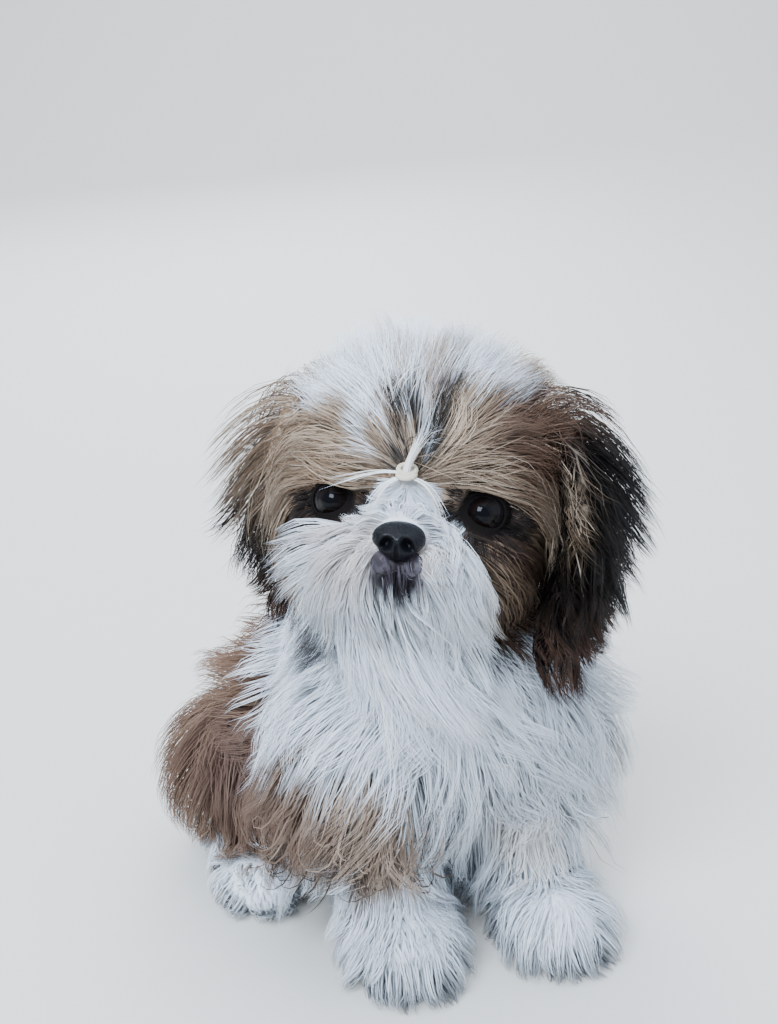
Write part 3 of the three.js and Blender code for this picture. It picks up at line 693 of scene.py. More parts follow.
def close_material(tree, colour, values, relief=None, **bump):
    """The surface: its colour, its shine and, where a pattern stands out, its relief."""
    links = {"Base Color": colour}
    if relief:
        sunk = bump.get("sunk", False)
        heights = {"Strength": bump["strength"], "Distance": bump["deep"] * MM, "invert": sunk}
        links["Normal"] = (add_node(tree, "ShaderNodeBump", heights, {"Height": relief}), "Normal")
    shader = add_node(tree, "ShaderNodeBsdfPrincipled", values, links)
    add_node(tree, "ShaderNodeOutputMaterial", links={"Surface": (shader, "BSDF")})


def object_noise(tree, size, detail):
    """Noise with grains of about that size in millimetres, fixed to the piece."""
    place = add_node(tree, "ShaderNodeTexCoord")
    values = {"Scale": 1 / (size * MM), "Detail": detail}
    return add_node(tree, "ShaderNodeTexNoise", values, {"Vector": (place, "Object")}), "Fac"


def give(piece, material, slot, *nodes):
    """The piece gets its material, rides on the body and stands for the nodes; the slot is not used."""
    piece.data.materials.clear()
    piece.data.materials.append(material)
    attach(piece, "root")
    if nodes:
        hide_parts(*nodes)


def hair_material():
    """Puppy hair: soft and nearly matt, with a little silk, and four or so strands in each tuft."""
    found = bpy.data.materials.get("puppy_hair")
    if found:
        return found
    material, tree = new_material("puppy_hair")
    strand = add_node(tree, "ShaderNodeAttribute", {"attribute_name": "strand"})
    values = {"noise_dimensions": "1D", "Scale": 4.0, "Detail": 1.0}
    grain = add_node(tree, "ShaderNodeTexNoise", values, {"W": (strand, "Fac")}), "Fac"
    colour = grained_marking(tree, grain, 0.78, 1.12)
    close_material(tree, colour, {"Roughness": 0.6, "IOR": 1.45, "Specular IOR Level": 0.22})
    return material


def skin_material():
    """Skin under the coat: the same markings, darker, with the grain of short underfur."""
    material, tree = new_material("skin_with_underfur")
    grain = object_noise(tree, 0.9, 3.0)
    colour = grained_marking(tree, grain, 0.82, 1.0)
    close_material(
        tree, colour, {"Roughness": 0.8, "Specular IOR Level": 0.08}, relief=grain, strength=0.6, deep=0.4
    )
    return material


def inks():
    """The coat's colours from the panel, as arrays."""
    colours = bpy.context.scene.puppy_colours
    return {name: np.array(getattr(colours, name)) for name in COAT_COLOURS}


MARKS = {
    "crown": (True, crown_marks),
    "cheek": (True, cheek_marks),
    "muzzle": (True, muzzle_marks),
    "bridge": (True, bridge_marks),
    "rim": (True, rim_marks),
    "face": (True, face_marks),
    "ear": (True, ear_marks),
    "body": (False, body_marks),
    "fringe": (False, fringe_marks),
    "tail": (False, tail_marks),
}


def marked(kind, p, chance, ink):
    turned, marks = MARKS[kind]
    return marks(to_head(p) if turned else p, chance, ink)


SKIN_MARKS = {"head": "face", "ear_left": "ear", "ear_right": "ear", "tail": "tail"}


# Coat: roots on the skin, paths that follow the lie, and blades of three sides along them.
class Skin:
    """The skin's triangles: their corners, unwrap, areas, middles and nearest parts."""

    def __init__(self, piece):
        mesh = piece.data
        mesh.calc_loop_triangles()
        count = len(mesh.loop_triangles)
        corners = np.zeros(count * 3, np.int32)
        loops = np.zeros(count * 3, np.int32)
        mesh.loop_triangles.foreach_get("vertices", corners)
        mesh.loop_triangles.foreach_get("loops", loops)
        place = from_metres(read_points(piece))
        uv = np.zeros(len(mesh.loops) * 2, np.float32)
        mesh.uv_layers["OFBake"].data.foreach_get("uv", uv)
        self.corner = place[corners.reshape(-1, 3)]
        self.uv = uv.reshape(-1, 2)[loops.reshape(-1, 3)]
        a, b, c = self.corner.transpose(1, 0, 2)
        across = np.cross(b - a, c - a)
        self.area = np.linalg.norm(across, axis=1) / 2
        self.centre = self.corner.mean(1)
        self.part = nearest_part(self.centre)

    def roots(self, density, rng):
        """Seeded places on the skin, density of them to a square millimetre, with their unwrap."""
        hope = self.area * density
        total = int(round(hope.sum()))
        edges = np.cumsum(hope)
        face = np.searchsorted(edges, (np.arange(total) + rng.random(total)) / total * edges[-1])
        face = np.minimum(face, len(self.area) - 1)
        s = np.sqrt(rng.random(total))
        r = rng.random(total)
        weights = np.stack([1 - s, s * (1 - r), s * r], 1)[:, :, None]
        return (self.corner[face] * weights).sum(1), (self.uv[face] * weights).sum(1)


# How a coat piece grows where its own call says nothing else. Sizes are in millimetres.
COAT_HABITS = {
    # Points along each hair, and how deep its root sits.
    "stations": 6,
    "sink": 1.5,
    # Push away from the skin, random push, turn of the whorls and pull of gravity.
    "lift": 0.0,
    "stray": 0.06,
    "swirl": 0.25,
    "droop": 0.0,
    # Share of the way down that a hair goes when it stands over its layer, and how near it may come.
    "hold": 0.8,
    "least": 0.6,
    # Depth added to the coat, the most that it may be, and what is added over an ear.
    "puff": 0.0,
    "most": 99.0,
    "over_ears": 0.0,
    # How far hairs gather into tufts and tufts into locks, and how locks swing and stand out.
    "tuft": 0.62,
    "lock": 0.4,
    "wave": 1.2,
    "turns": 1.0,
    "relief": 0.0,
    # How ragged the edges of the markings are, by hair and by tuft along its lie.
    "wander": 1.0,
    "fingers": 4.0,
    # How much paler the tips are, a function that colours them, and the size of curled ends.
    "pale_tip": 0.14,
    "tips": None,
    "ringlet": None,
    # Whether hairs that would cover the eyes, nose and mouth, or the eyes alone, are left out.
    "clear_face": False,
    "clear_eye": False,
}
STEP_LIMIT = 6.0
ROOT_SHIFT = 2.5
HAIR_CLEAR = 1.1
SWIRL_SIZE = 30.0
UPRIGHT = np.array([0.0, 0.0, 1.0])


def walk(roots, lengths, layers, comb, jitter, settings, rng):
    """Paths of hairs: each leaves its root, rises to its layer of the coat and follows the lie."""
    stations = settings["stations"]
    cling = settings["cling"]
    height, normal = look(roots)[:2]
    here = roots - normal * np.clip(height, -ROOT_SHIFT, ROOT_SHIFT)[:, None]
    paths = [here - normal * settings["sink"]]
    ups = [normal]
    swirl = settings["swirl"] * ripple(roots, SWIRL_SIZE, 0.7)
    turn = (rng.normal(0, jitter, len(here)) + swirl)[:, None]
    lift = rng.normal(settings["lift"], settings["stray"], len(here))[:, None]
    for k in range(1, stations):
        share = k / (stations - 1)
        lie = unit(comb(here, normal))
        lie = lie - normal * (lie * normal).sum(1, keepdims=True) * cling
        lie = unit(lie)
        side = np.cross(normal, lie)
        lie = unit(lie + side * turn + normal * lift - UPRIGHT * settings["droop"] * share)
        here = here + lie * (lengths / (stations - 1))[:, None]
        height, normal, depth, held = look(here)
        rise = 1 - (1 - share) ** 2
        depth = np.minimum(depth + settings["puff"], settings["most"])
        over = settings["over_ears"] * held[:, EAR_PARTS].sum(1)
        move = ((depth * layers + over) * rise - height) * cling
        move = np.where(move < 0, move * settings["hold"], move)
        move = np.maximum(move, settings["least"] - height)
        here = here + normal * np.clip(move, -STEP_LIMIT, STEP_LIMIT)[:, None]
        here[:, 2] = np.maximum(here[:, 2], HAIR_CLEAR)
        paths.append(here)
        ups.append(normal)
    return np.stack(paths, 1), np.stack(ups, 1)


GATHER_CHUNKS = 12
GATHER_POWER = 1.2


def gather(paths, guides, share):
    """Each hair leans towards the guide with the nearest root, more and more towards the tip."""
    starts = guides[:, 0]
    nearest = np.concatenate(
        [
            ((some[:, None] - starts[None]) ** 2).sum(2).argmin(1)
            for some in np.array_split(paths[:, 0], GATHER_CHUNKS)
        ]
    )
    along = np.linspace(0, 1, paths.shape[1]) ** GATHER_POWER
    pull = (share * along)[None, :, None]
    return paths * (1 - pull) + guides[nearest] * pull, nearest


def directions(paths, ups):
    """The ways along each path and across it."""
    tangent = unit(np.gradient(paths, axis=1))
    return tangent, unit(np.cross(tangent, ups))


def wave(paths, ups, nearest, size, turns, rng):
    """Locks swing from side to side, all hairs of one lock together."""
    phase = rng.random(nearest.max() + 1) * 2 * math.pi
    along = np.linspace(0, 1, paths.shape[1])[None]
    swing = np.sin(2 * math.pi * turns * along + phase[nearest][:, None]) * along * size
    return paths + directions(paths, ups)[1] * swing[:, :, None]


# Ringlets: their least and most turns and size, and how much of the hair's own way they keep.
RINGLET_TURNS = (0.25, 1.15)
RINGLET_SIZES = (0.4, 1.4)
RINGLET_HELD = 0.35


def ringlets(paths, ups, size, rng):
    """The outer half of each hair rolls up into a loop of about that radius."""
    count, stations = paths.shape[:2]
    share = np.clip(np.linspace(-1, 1, stations), 0, 1)[None]
    turns = rng.uniform(*RINGLET_TURNS, (count, 1))
    angle = share * 2 * math.pi * turns * rng.choice([-1, 1], (count, 1))
    radius = size * rng.uniform(*RINGLET_SIZES, (count, 1))
    tangent, across = directions(paths, ups)
    middle = (stations - 1) // 2
    bend = paths[:, middle : middle + 1]
    held = np.where(share[..., None] > 0, bend + RINGLET_HELD * (paths - bend), paths)
    onward = tangent[:, middle : middle + 1] * (radius * np.sin(np.abs(angle)))[..., None]
    aside = across[:, middle : middle + 1] * (np.sign(angle) * radius * (1 - np.cos(angle)))[..., None]
    return held + onward + aside


# A blade's width along it, the share of its normals that follows the coat, and its patch's size.
TAPER_AT = [0, 0.25, 0.6, 1]
TAPER = [0.75, 1, 0.8, 0.0]
RIDGE = 0.9
SOFT_SHADE = 0.86
PATCH = 0.003
PATCH_SPREAD = 0.004
STRANDS_APART = 50


def blade_faces(rings):
    """Corners of one blade's triangles: its root, its three sides and its tip."""
    faces = [(0, 1, 2)]
    for k in range(rings - 1):
        for i in range(3):
            j = (i + 1) % 3
            a, b, c, d = 3 * k + i, 3 * k + 3 + i, 3 * k + 3 + j, 3 * k + j
            faces += [(a, b, c), (a, c, d)]
    last = 3 * (rings - 1)
    tip = 3 * rings
    faces += [(last + i, tip, last + (i + 1) % 3) for i in range(3)]
    return np.array(faces)


def blades(name, paths, ups, widths, colours, uv, rng):
    """One closed mesh of all the hairs: three sides, wide at the middle, pointed at the tip."""
    count, stations, _ = paths.shape
    rings = stations - 1
    each = rings * 3 + 1
    tangent, across = directions(paths, ups)
    up = np.cross(across, tangent)
    along = np.linspace(0, 1, stations)
    taper = np.interp(along, TAPER_AT, TAPER)[:rings]
    half = 0.5 * widths[:, None, None] * taper[None, :, None]
    left = paths[:, :rings] - across[:, :rings] * half
    right = paths[:, :rings] + across[:, :rings] * half
    ridge = paths[:, :rings] + up[:, :rings] * half * RIDGE
    ring = np.stack([left, right, ridge], 2).reshape(count, rings * 3, 3)
    points = np.concatenate([ring, paths[:, -1:]], 1)
    points[:, :, 2] = np.maximum(points[:, :, 2], FLOOR_CLEAR)
    index = (np.arange(count)[:, None, None] * each + blade_faces(rings)[None]).reshape(-1)
    shade = np.concatenate([np.repeat(colours[:, :rings], 3, axis=1), colours[:, -1:]], 1)
    aside = np.array([-1.0, 1.0, 0.0] * rings + [0.0]) / 2
    ahead = np.append(np.repeat(along[:rings], 3), 1.0) - 0.5
    uv_points = (uv[:, None] + (np.stack([aside, ahead], 1) * PATCH)[None]).reshape(-1, 2)

    mesh = bpy.data.meshes.new(name)
    mesh.vertices.add(count * each)
    mesh.vertices.foreach_set("co", metres(points.reshape(-1, 3)).astype(np.float32).ravel())
    mesh.loops.add(len(index))
    mesh.loops.foreach_set("vertex_index", index.astype(np.int32))
    mesh.polygons.add(len(index) // 3)
    mesh.polygons.foreach_set("loop_start", np.arange(0, len(index), 3, dtype=np.int32))
    mesh.polygons.foreach_set("use_smooth", np.ones(len(index) // 3, bool))
    layer = mesh.uv_layers.new(name="OFBake")
    layer.data.foreach_set("uv", uv_points[index].astype(np.float32).ravel())
    mesh.update(calc_edges=True)
    lean = np.stack([-across[:, :rings], across[:, :rings], up[:, :rings]], 2)
    soft = unit(SOFT_SHADE * ups[:, :rings, None] + (1 - SOFT_SHADE) * lean).reshape(count, rings * 3, 3)
    soft = np.concatenate([soft, ups[:, -1:]], 1).reshape(-1, 3)
    mesh.normals_split_custom_set_from_vertices(soft.astype(np.float32))
    piece = bpy.data.objects.new(name, mesh)
    bpy.context.scene.collection.objects.link(piece)
    paint(piece, shade.reshape(-1, 3))
    set_shade(piece, "strand", (STRANDS_APART * rng.random((count, 1)) + aside[None]).ravel())
    return piece


# What stays free of hair: a round before each eye, up to the brow, and the nose and the mouth.
EYE_CLEAR = 8.2
EYE_CLEAR_FACE = 8.4
EYE_SHOWN = {1: 7.8, -1: 5.6}
NOSE_CLEAR = (9.0, 7.0)
MOUTH_WIDE = 7.2
MOUTH_HIGH = (-32, -16)
MOUTH_HAIR_WIDE = 5.5
MOUTH_HAIR_HIGH = (-33, -16)
FACE_FRONT = -44


def over_eye(paths, radius):
    """True for each hair that would lie in front of an eye."""
    q = to_head(paths.reshape(-1, 3)).reshape(paths.shape)
    hidden = np.zeros(len(paths), bool)
    for side, _ in SIDES:
        gaze = eye_gaze(side)
        apart = q - eye_place(side)
        front = apart @ gaze
        beside = np.linalg.norm(apart - front[..., None] * gaze, axis=2)
        shown = q[..., 2] - EYE_AT[2] < EYE_SHOWN[side]
        hidden |= ((front > 0) & (beside < radius) & shown).any(1)
    return hidden


def within(values, span):
    return (values > span[0]) & (values < span[1])


def hides_feature(paths):
    """True for each hair that would lie in front of an eye, the nose or the mouth."""
    q = to_head(paths.reshape(-1, 3)).reshape(paths.shape)
    x, y, z = q[..., 0], q[..., 1], q[..., 2]
    aside, above = (x - NOSE_AT[0]) / NOSE_CLEAR[0], (z - NOSE_AT[2]) / NOSE_CLEAR[1]
    nose = (aside**2 + above**2 < 1) & (y < FACE_FRONT)
    mouth = (np.abs(x) < MOUTH_WIDE) & within(z, MOUTH_HIGH) & (y < FACE_FRONT)
    rooted = (np.abs(x[:, 0]) < MOUTH_HAIR_WIDE) & within(z[:, 0], MOUTH_HAIR_HIGH)
    return over_eye(paths, EYE_CLEAR_FACE) | nose.any(1) | (mouth.any(1) & ~rooted)


# One hair in so many leads a tuft, and one tuft in so many leads a lock.
TUFT_HAIRS = 14
LOCK_TUFTS = 7
JITTER = 0.1
TUFT_JITTER = 0.3
BRIGHTEST = 1.15


def lead(paths, layers, lengths, roots, comb, settings, rng):
    """Hairs gathered into tufts and the tufts into waving locks, and each hair's tuft."""
    few = rng.permutation(len(roots))[: max(len(roots) // TUFT_HAIRS, 1)]
    few_layers = lerp(layers[few] ** 0.5, rng.uniform(0.35, 1.2, len(few)), settings["relief"])
    few_lengths = lengths[few] * rng.uniform(0.75, 1.2, len(few))
    tufts, tuft_ups = walk(roots[few], few_lengths, few_layers, comb, TUFT_JITTER, settings, rng)
    locks = rng.permutation(len(few))[: max(len(few) // LOCK_TUFTS, 1)]
    tufts, lock = gather(tufts, tufts[locks], settings["lock"])
    tufts = wave(tufts, tuft_ups, lock, settings["wave"], settings["turns"], rng)
    return gather(paths, tufts, settings["tuft"])


def grow_coat(name, kind, weight, comb, slot, triangles, length, width, **own):
    """One piece of the coat: its roots are spread by weight, as many as its triangles allow."""
    rng = np.random.default_rng(SEED + sum(ord(c) * (i + 1) for i, c in enumerate(name)))
    skin = the_skin()
    sizes = bpy.context.scene.puppy_sizes
    settings = COAT_HABITS | own
    stations = settings["stations"]
    count = triangles * sizes.coat_density / (6 * (stations - 2) + 4)
    roots, uv = skin.roots(weight * count / (skin.area * weight).sum(), rng)
    lengths = length(roots) if callable(length) else np.full(len(roots), float(length))
    layers = np.sqrt(rng.uniform(0.05, 1.2, len(roots)))
    lengths = lengths * rng.uniform(0.65, 1.12, len(roots))
    paths, ups = walk(roots, lengths, layers, comb, JITTER, settings, rng)
    paths, tuft = lead(paths, layers, lengths, roots, comb, settings, rng)
    keep = np.ones(len(paths), bool)
    if settings["clear_face"]:
        keep = ~hides_feature(paths)
    if settings["clear_eye"]:
        keep = ~over_eye(paths, EYE_CLEAR)
    paths, ups, uv, layers, tuft = paths[keep], ups[keep], uv[keep], layers[keep], tuft[keep]
    colours = coat_colours(kind, paths, layers, tuft, settings, rng)
    fine = lerp(1.6, 0.62, ramp(layers, 0.25, 0.85))
    widths = width * sizes.hair_width / MM * fine * rng.uniform(0.75, 1.2, len(paths))
    if settings["ringlet"]:
        paths = ringlets(paths, ups, settings["ringlet"], rng)
    give(blades(name, paths, ups, widths, colours, uv, rng), hair_material(), slot)


def coat_colours(kind, paths, layers, tuft, settings, rng):
    """Each hair's marking along it, with ragged edges, darker locks, painted shade on the hairs of the
    under layers and paler tips.
    """
    ink = inks()
    count, stations, _ = paths.shape
    tufts = tuft.max() + 1
    chance = 0.6 * rng.random(count) + 0.4 * rng.random(tufts)[tuft]
    wander = rng.normal(0, 1.0, (count, 1, 3)) + rng.normal(0, 1.2, (tufts, 1, 3))[tuft]
    wander = wander * settings["wander"]
    slide = rng.normal(0, 1, (tufts, 1, 1))[tuft] * settings["fingers"]
    wander = wander - unit(paths[:, -1:] - paths[:, :1]) * slide
    colours = [marked(kind, paths[:, k] + wander[:, 0], chance, ink) for k in range(stations)]
    lock_tone = 1.06 - np.abs(rng.normal(0, 0.15, tufts))[tuft]
    # Painted shade: hairs low in the coat are darkened, as if shaded by the hairs over them.
    painted_undercoat_shade = lerp(0.8, 1.0, ramp(layers, 0.3, 0.8))
    tone = rng.normal(1.0, 0.06, (count, 1, 1)) * (lock_tone * painted_undercoat_shade)[:, None, None]
    tone = np.clip(tone, 0.4, BRIGHTEST)
    along = np.linspace(0, 1, stations)[None, :, None]
    colours = np.stack(colours, 1) * tone * (1.02 + settings["pale_tip"] * (along - 1))
    if settings["tips"]:
        colours = settings["tips"](paths, colours, chance, along, ink)
    return colours


@functools.cache
def the_skin():
    return Skin(bpy.data.objects["skin"])


def centres():
    """The middles of the skin's faces, in the head's frame and the body's, and their parts' names."""
    skin = the_skin()
    return to_head(skin.centre), skin.centre, np.array(PART_NAMES)[skin.part]


# Panel values.
COAT_COLOURS = {
    # The white is the coat's own white with a painted cool cast of the studio light: its blue tint stands
    # in for the bluish light.
    "white": ("White of the crown, muzzle, chest and feet", "#e8f0f9"),
    "cream": ("Cream among the tan hairs", "#d9cab6"),
    "beige": ("Beige beside the nose", "#cdbdb4"),
    "taupe": ("Grizzled brow on the right", "#9c846d"),
    "tan": ("Grizzled brow on the left", "#b39c84"),
    "umber": ("Dark brown streaks", "#584033"),
    "brown": ("Brown of the brow's outer end", "#684f3f"),
    "chestnut": ("Saddle and haunches", "#745b4c"),
    "plum": ("Dusky front of the haunch", "#5f4a44"),
    "rust": ("Warm edge of the shoulder and ear", "#7d5d4b"),
    "gold": ("Golden fringe at the elbow", "#b09b8a"),
    "dark": ("Cheeks and ears", "#2f2825"),
    "black": ("Marks over the band and rims of the eyes", "#0e0a09"),
    "lip": ("Skin about the mouth", "#403b46"),
}


def colour_property(label, colour):
    return bpy.props.FloatVectorProperty(
        name=label, description=label, subtype="COLOR", size=3, min=0, max=1, default=linear(colour)
    )


class PuppyColours(bpy.types.PropertyGroup):
    """Colours of the coat, nose, eyes and band."""

    __annotations__ = {name: colour_property(*row) for name, row in COAT_COLOURS.items()} | {
        "iris": colour_property("Iris", "#0e0807"),
        "nose": colour_property("Nose leather", "#0b0c10"),
        "band": colour_property("Elastic of the hair tie", "#e4dcc4"),
        "floor": colour_property("Studio floor", "#cfccc6"),
    }


def length_property(label, description, length):
    return bpy.props.FloatProperty(
        name=label, description=description, default=length, unit="LENGTH", subtype="DISTANCE"
    )


class PuppySizes(bpy.types.PropertyGroup):
    """Sizes that change the look of the coat and face."""

    eye_radius: length_property("Eye radius", "Radius of an eyeball", 9.5 * MM)
    nose_width: length_property("Nose width", "Width of the nose leather", 19 * MM)
    hair_width: length_property("Hair width", "Width of a body hair tuft", 0.8 * MM)
    skin_grain: length_property("Skin mesh", "Size of the skin's faces", 1.7 * MM)
    coat_density: bpy.props.FloatProperty(
        name="Coat density", description="Share of the full number of tufts", default=1.0, min=0.05, max=2.0
    )


class PuppyStage(bpy.types.PropertyGroup):
    """Floor, lights and camera of the studio."""

    floor_size: length_property("Floor size", "Side of the floor", 7.0)
    key_power: bpy.props.FloatProperty(
        name="Key light", description="Power of the key light", default=76.0, unit="POWER"
    )
    fill_power: bpy.props.FloatProperty(
        name="Fill light", description="Power of the fill light", default=20.0, unit="POWER"
    )
    sky: bpy.props.FloatProperty(
        name="Sky", description="Strength of the even light", default=0.75, min=0, max=5
    )


# Rounds of smoothing, rounds in which the skin is drawn to the bare shape, and how far each draws it.
SKIN_SMOOTHING = 5
SKIN_FITS = 2
SKIN_FIT_LIMIT = 2.0
SKIN_FIT_SHARE = 0.8


class PUPPY_OT_skin(bpy.types.Operator):
    """Skin of the head, trunk, legs, tail and ears in one piece"""

    bl_idname = "puppy.skin"
    bl_label = "Skin"

    def execute(self, context):
        balls = []
        turn = Matrix(HEAD_TURN.tolist()).to_euler()
        for _, turned, centre, radii in FORM_ROWS:
            place = metres(to_body(np.array(centre, float)) if turned else centre)
            choose_none()
            bpy.ops.mesh.primitive_uv_sphere_add(
                segments=32,
                ring_count=18,
                radius=1.0,
                location=place,
                rotation=turn if turned else (0, 0, 0),
                scale=[r * MM for r in radii],
            )
            balls.append(bpy.context.object)
        piece = join(balls, "skin")
        grain = context.scene.puppy_sizes.skin_grain
        apply_modifier(piece, "REMESH", mode="VOXEL", voxel_size=grain, use_smooth_shade=True)
        apply_modifier(piece, "SMOOTH", factor=0.5, iterations=SKIN_SMOOTHING)
        points = from_metres(read_points(piece))
        for _ in range(SKIN_FITS):
            found = [look(some) for some in np.array_split(points, CHUNKS)]
            height = np.concatenate([f[0] for f in found])
            normal = np.concatenate([f[1] for f in found])
            off = np.clip(height, -SKIN_FIT_LIMIT, SKIN_FIT_LIMIT)
            points = points - normal * off[:, None] * SKIN_FIT_SHARE
        points[:, 2] = np.maximum(points[:, 2], 0.0)
        write_points(piece, metres(points))
        choose(piece)
        bpy.ops.object.mode_set(mode="EDIT")
        bpy.ops.mesh.select_all(action="SELECT")
        bpy.ops.uv.smart_project(angle_limit=math.radians(66), island_margin=0.002)
        bpy.ops.object.mode_set(mode="OBJECT")
        piece.data.uv_layers[0].name = "OFBake"
        rng = np.random.default_rng(SEED)
        chance = rng.random(len(points))
        ink = inks()
        part = nearest_part(points)
        colours = np.zeros((len(points), 3))
        for i, name in enumerate(PART_NAMES):
            mine = part == i
            if mine.any():
                colours[mine] = marked(SKIN_MARKS.get(name, "body"), points[mine], chance[mine], ink)
        paint(piece, colours)
        shade_smooth(piece)
        give(piece, skin_material(), "coat_white", *PART_NAMES)
        return {"FINISHED"}


def head_ball(name, centre, radii, segments, rings, pole=(0.0, 0.0, 1.0)):
    """A ball in the head's frame, with its pole along a given way."""
    turn = Vector((0, 0, 1)).rotation_difference(Vector(head_way(unit(np.array(pole)))))
    choose_none()
    bpy.ops.mesh.primitive_uv_sphere_add(
        segments=segments,
        ring_count=rings,
        radius=1.0,
        location=metres(to_body(np.array(centre, float))),
        rotation=turn.to_euler(),
        scale=[r * MM for r in radii],
    )
    return join([bpy.context.object], name)


def head_points(piece):
    return to_head(from_metres(read_points(piece)))


def place_head_points(piece, q):
    write_points(piece, metres(to_body(q)))


# The cornea: its angle from the gaze, in radians, and its rise in millimetres.
CORNEA_FLAT = 0.1
CORNEA = 0.62
CORNEA_RISE = 0.9


class PUPPY_OT_eyes(bpy.types.Operator):
    """Two eyes with a raised cornea, a dark iris and a black pupil"""

    bl_idname = "puppy.eyes"
    bl_label = "Eyes"

    def execute(self, context):
        radius = context.scene.puppy_sizes.eye_radius / MM
        material = eye_material(context.scene.puppy_colours)
        for side, name in SIDES:
            gaze = eye_gaze(side)
            piece = head_ball("glass_eye_" + name, eye_place(side), [radius] * 3, 48, 64, gaze)
            q = head_points(piece) - eye_place(side)
            angle = np.arccos(np.clip(unit(q) @ gaze, -1, 1))
            rise = CORNEA_RISE * (1 - ramp(angle, CORNEA_FLAT, CORNEA))
            place_head_points(piece, eye_place(side) + unit(q) * (radius + rise)[:, None])
            set_shade(piece, "ring", angle)
            shade_smooth(piece)
            give(piece, material, "eye", "eye_" + name)
        return {"FINISHED"}


PUPIL_BLACK = (0.002, 0.002, 0.003)
RIM_BLACK = (0.006, 0.005, 0.006)


def eye_material(colours):
    """Eye: a wet, deep brown iris that is almost black, under a clear cornea that takes highlights."""
    material, tree = new_material("wet_eye")
    ring = add_node(tree, "ShaderNodeAttribute", {"attribute_name": "ring"})
    stops = [
        (0.3, PUPIL_BLACK),
        (0.36, colours.iris),
        (0.62, [c * 0.5 for c in colours.iris]),
        (0.72, RIM_BLACK),
    ]
    bands = add_node(tree, "ShaderNodeValToRGB", links={"Fac": (ring, "Fac")}, stops=stops)
    values = {"Roughness": 0.08, "IOR": 1.4, "Specular IOR Level": 0.16}
    close_material(tree, (bands, "Color"), values)
    return material


# Lids: the almond opening's half width and half height and the back edge, as angles from the gaze,
# then the lids' height over the eye, how far they swell past their edge, and their thickness.
LID_WIDE = math.radians(57)
LID_HIGH = math.radians(43)
LID_BACK = math.radians(84)
LID_RISE = 0.15
LID_PUFF = 0.4
LID_PUFF_ANGLE = 0.12
LID_THICK = 0.4


def eye_axes(gaze):
    right = unit(np.cross(gaze, [0, 0, 1.0]))
    return right, np.cross(right, gaze)


def lid_opening(across):
    """Angle from the gaze to the lid's edge, all round the almond."""
    return LID_WIDE * LID_HIGH / np.hypot(LID_HIGH * np.cos(across), LID_WIDE * np.sin(across))


def round_eye(gaze, across, angle):
    """Ways from an eye's middle, at an angle from the gaze and a turn about it."""
    right, up = eye_axes(gaze)
    ring = np.cos(across)[..., None] * right + np.sin(across)[..., None] * up
    return np.cos(angle)[..., None] * gaze + np.sin(angle)[..., None] * ring


def open_poles(piece):
    """Takes away the two fans of triangles at the poles, which leaves the opening and the back."""
    choose(piece)
    bpy.ops.object.mode_set(mode="EDIT")
    bpy.ops.mesh.select_all(action="DESELECT")
    bpy.ops.object.mode_set(mode="OBJECT")
    for face in piece.data.polygons:
        face.select = len(face.vertices) == 3
    bpy.ops.object.mode_set(mode="EDIT")
    bpy.ops.mesh.delete(type="FACE")
    bpy.ops.mesh.select_all(action="SELECT")
    bpy.ops.mesh.delete_loose()
    bpy.ops.object.mode_set(mode="OBJECT")


class PUPPY_OT_lids(bpy.types.Operator):
    """Dark lids round each eye, with an almond opening"""

    bl_idname = "puppy.lids"
    bl_label = "Lids"

    def execute(self, context):
        radius = context.scene.puppy_sizes.eye_radius / MM
        pieces = []
        for side, _ in SIDES:
            gaze = eye_gaze(side)
            piece = head_ball("lid", eye_place(side), [radius] * 3, 64, 72, gaze)
            right, up = eye_axes(gaze)
            q = unit(head_points(piece) - eye_place(side))
            across = np.arctan2(q @ up, q @ right)
            opening = lid_opening(across)
            share = np.arccos(np.clip(q @ gaze, -1, 1)) / math.pi
            angle = opening + (LID_BACK - opening) * share
            puff = LID_PUFF * ramp(angle - opening, 0.0, LID_PUFF_ANGLE)
            out = radius + LID_RISE + puff
            place_head_points(piece, eye_place(side) + round_eye(gaze, across, angle) * out[:, None])
            open_poles(piece)
            pieces.append(piece)
        piece = join(pieces, "lids")
        apply_modifier(piece, "SOLIDIFY", thickness=LID_THICK * MM, offset=1.0)
        shade_smooth(piece)
        give(piece, lid_material(context.scene.puppy_colours), "coat_dark")
        return {"FINISHED"}


def lid_material(colours):
    """Lids: black bare skin with fine creases."""
    material, tree = new_material("bare_black_skin")
    creases = object_noise(tree, 0.8, 4.0)
    colour = shades(tree, creases, colours.black, 0.7, 1.4)
    close_material(
        tree, colour, {"Roughness": 0.7, "Specular IOR Level": 0.08}, relief=creases, strength=0.5, deep=0.2
    )
    return material


# Nose leather, from its middle: half its height and depth, the nostrils' place and radius, and how
# deep the nostrils, the slits beside them and the groove between them are cut.
NOSE_HALF = 7.4
NOSTRIL_AT = (3.7, -0.9)
NOSTRIL_R = 1.9
NOSTRIL_DEEP = 4.2
NOSTRIL_RIM = 0.5
SLIT_DEEP = 1.6
GROOVE_HALF = 0.55
GROOVE_DEEP = 1.3


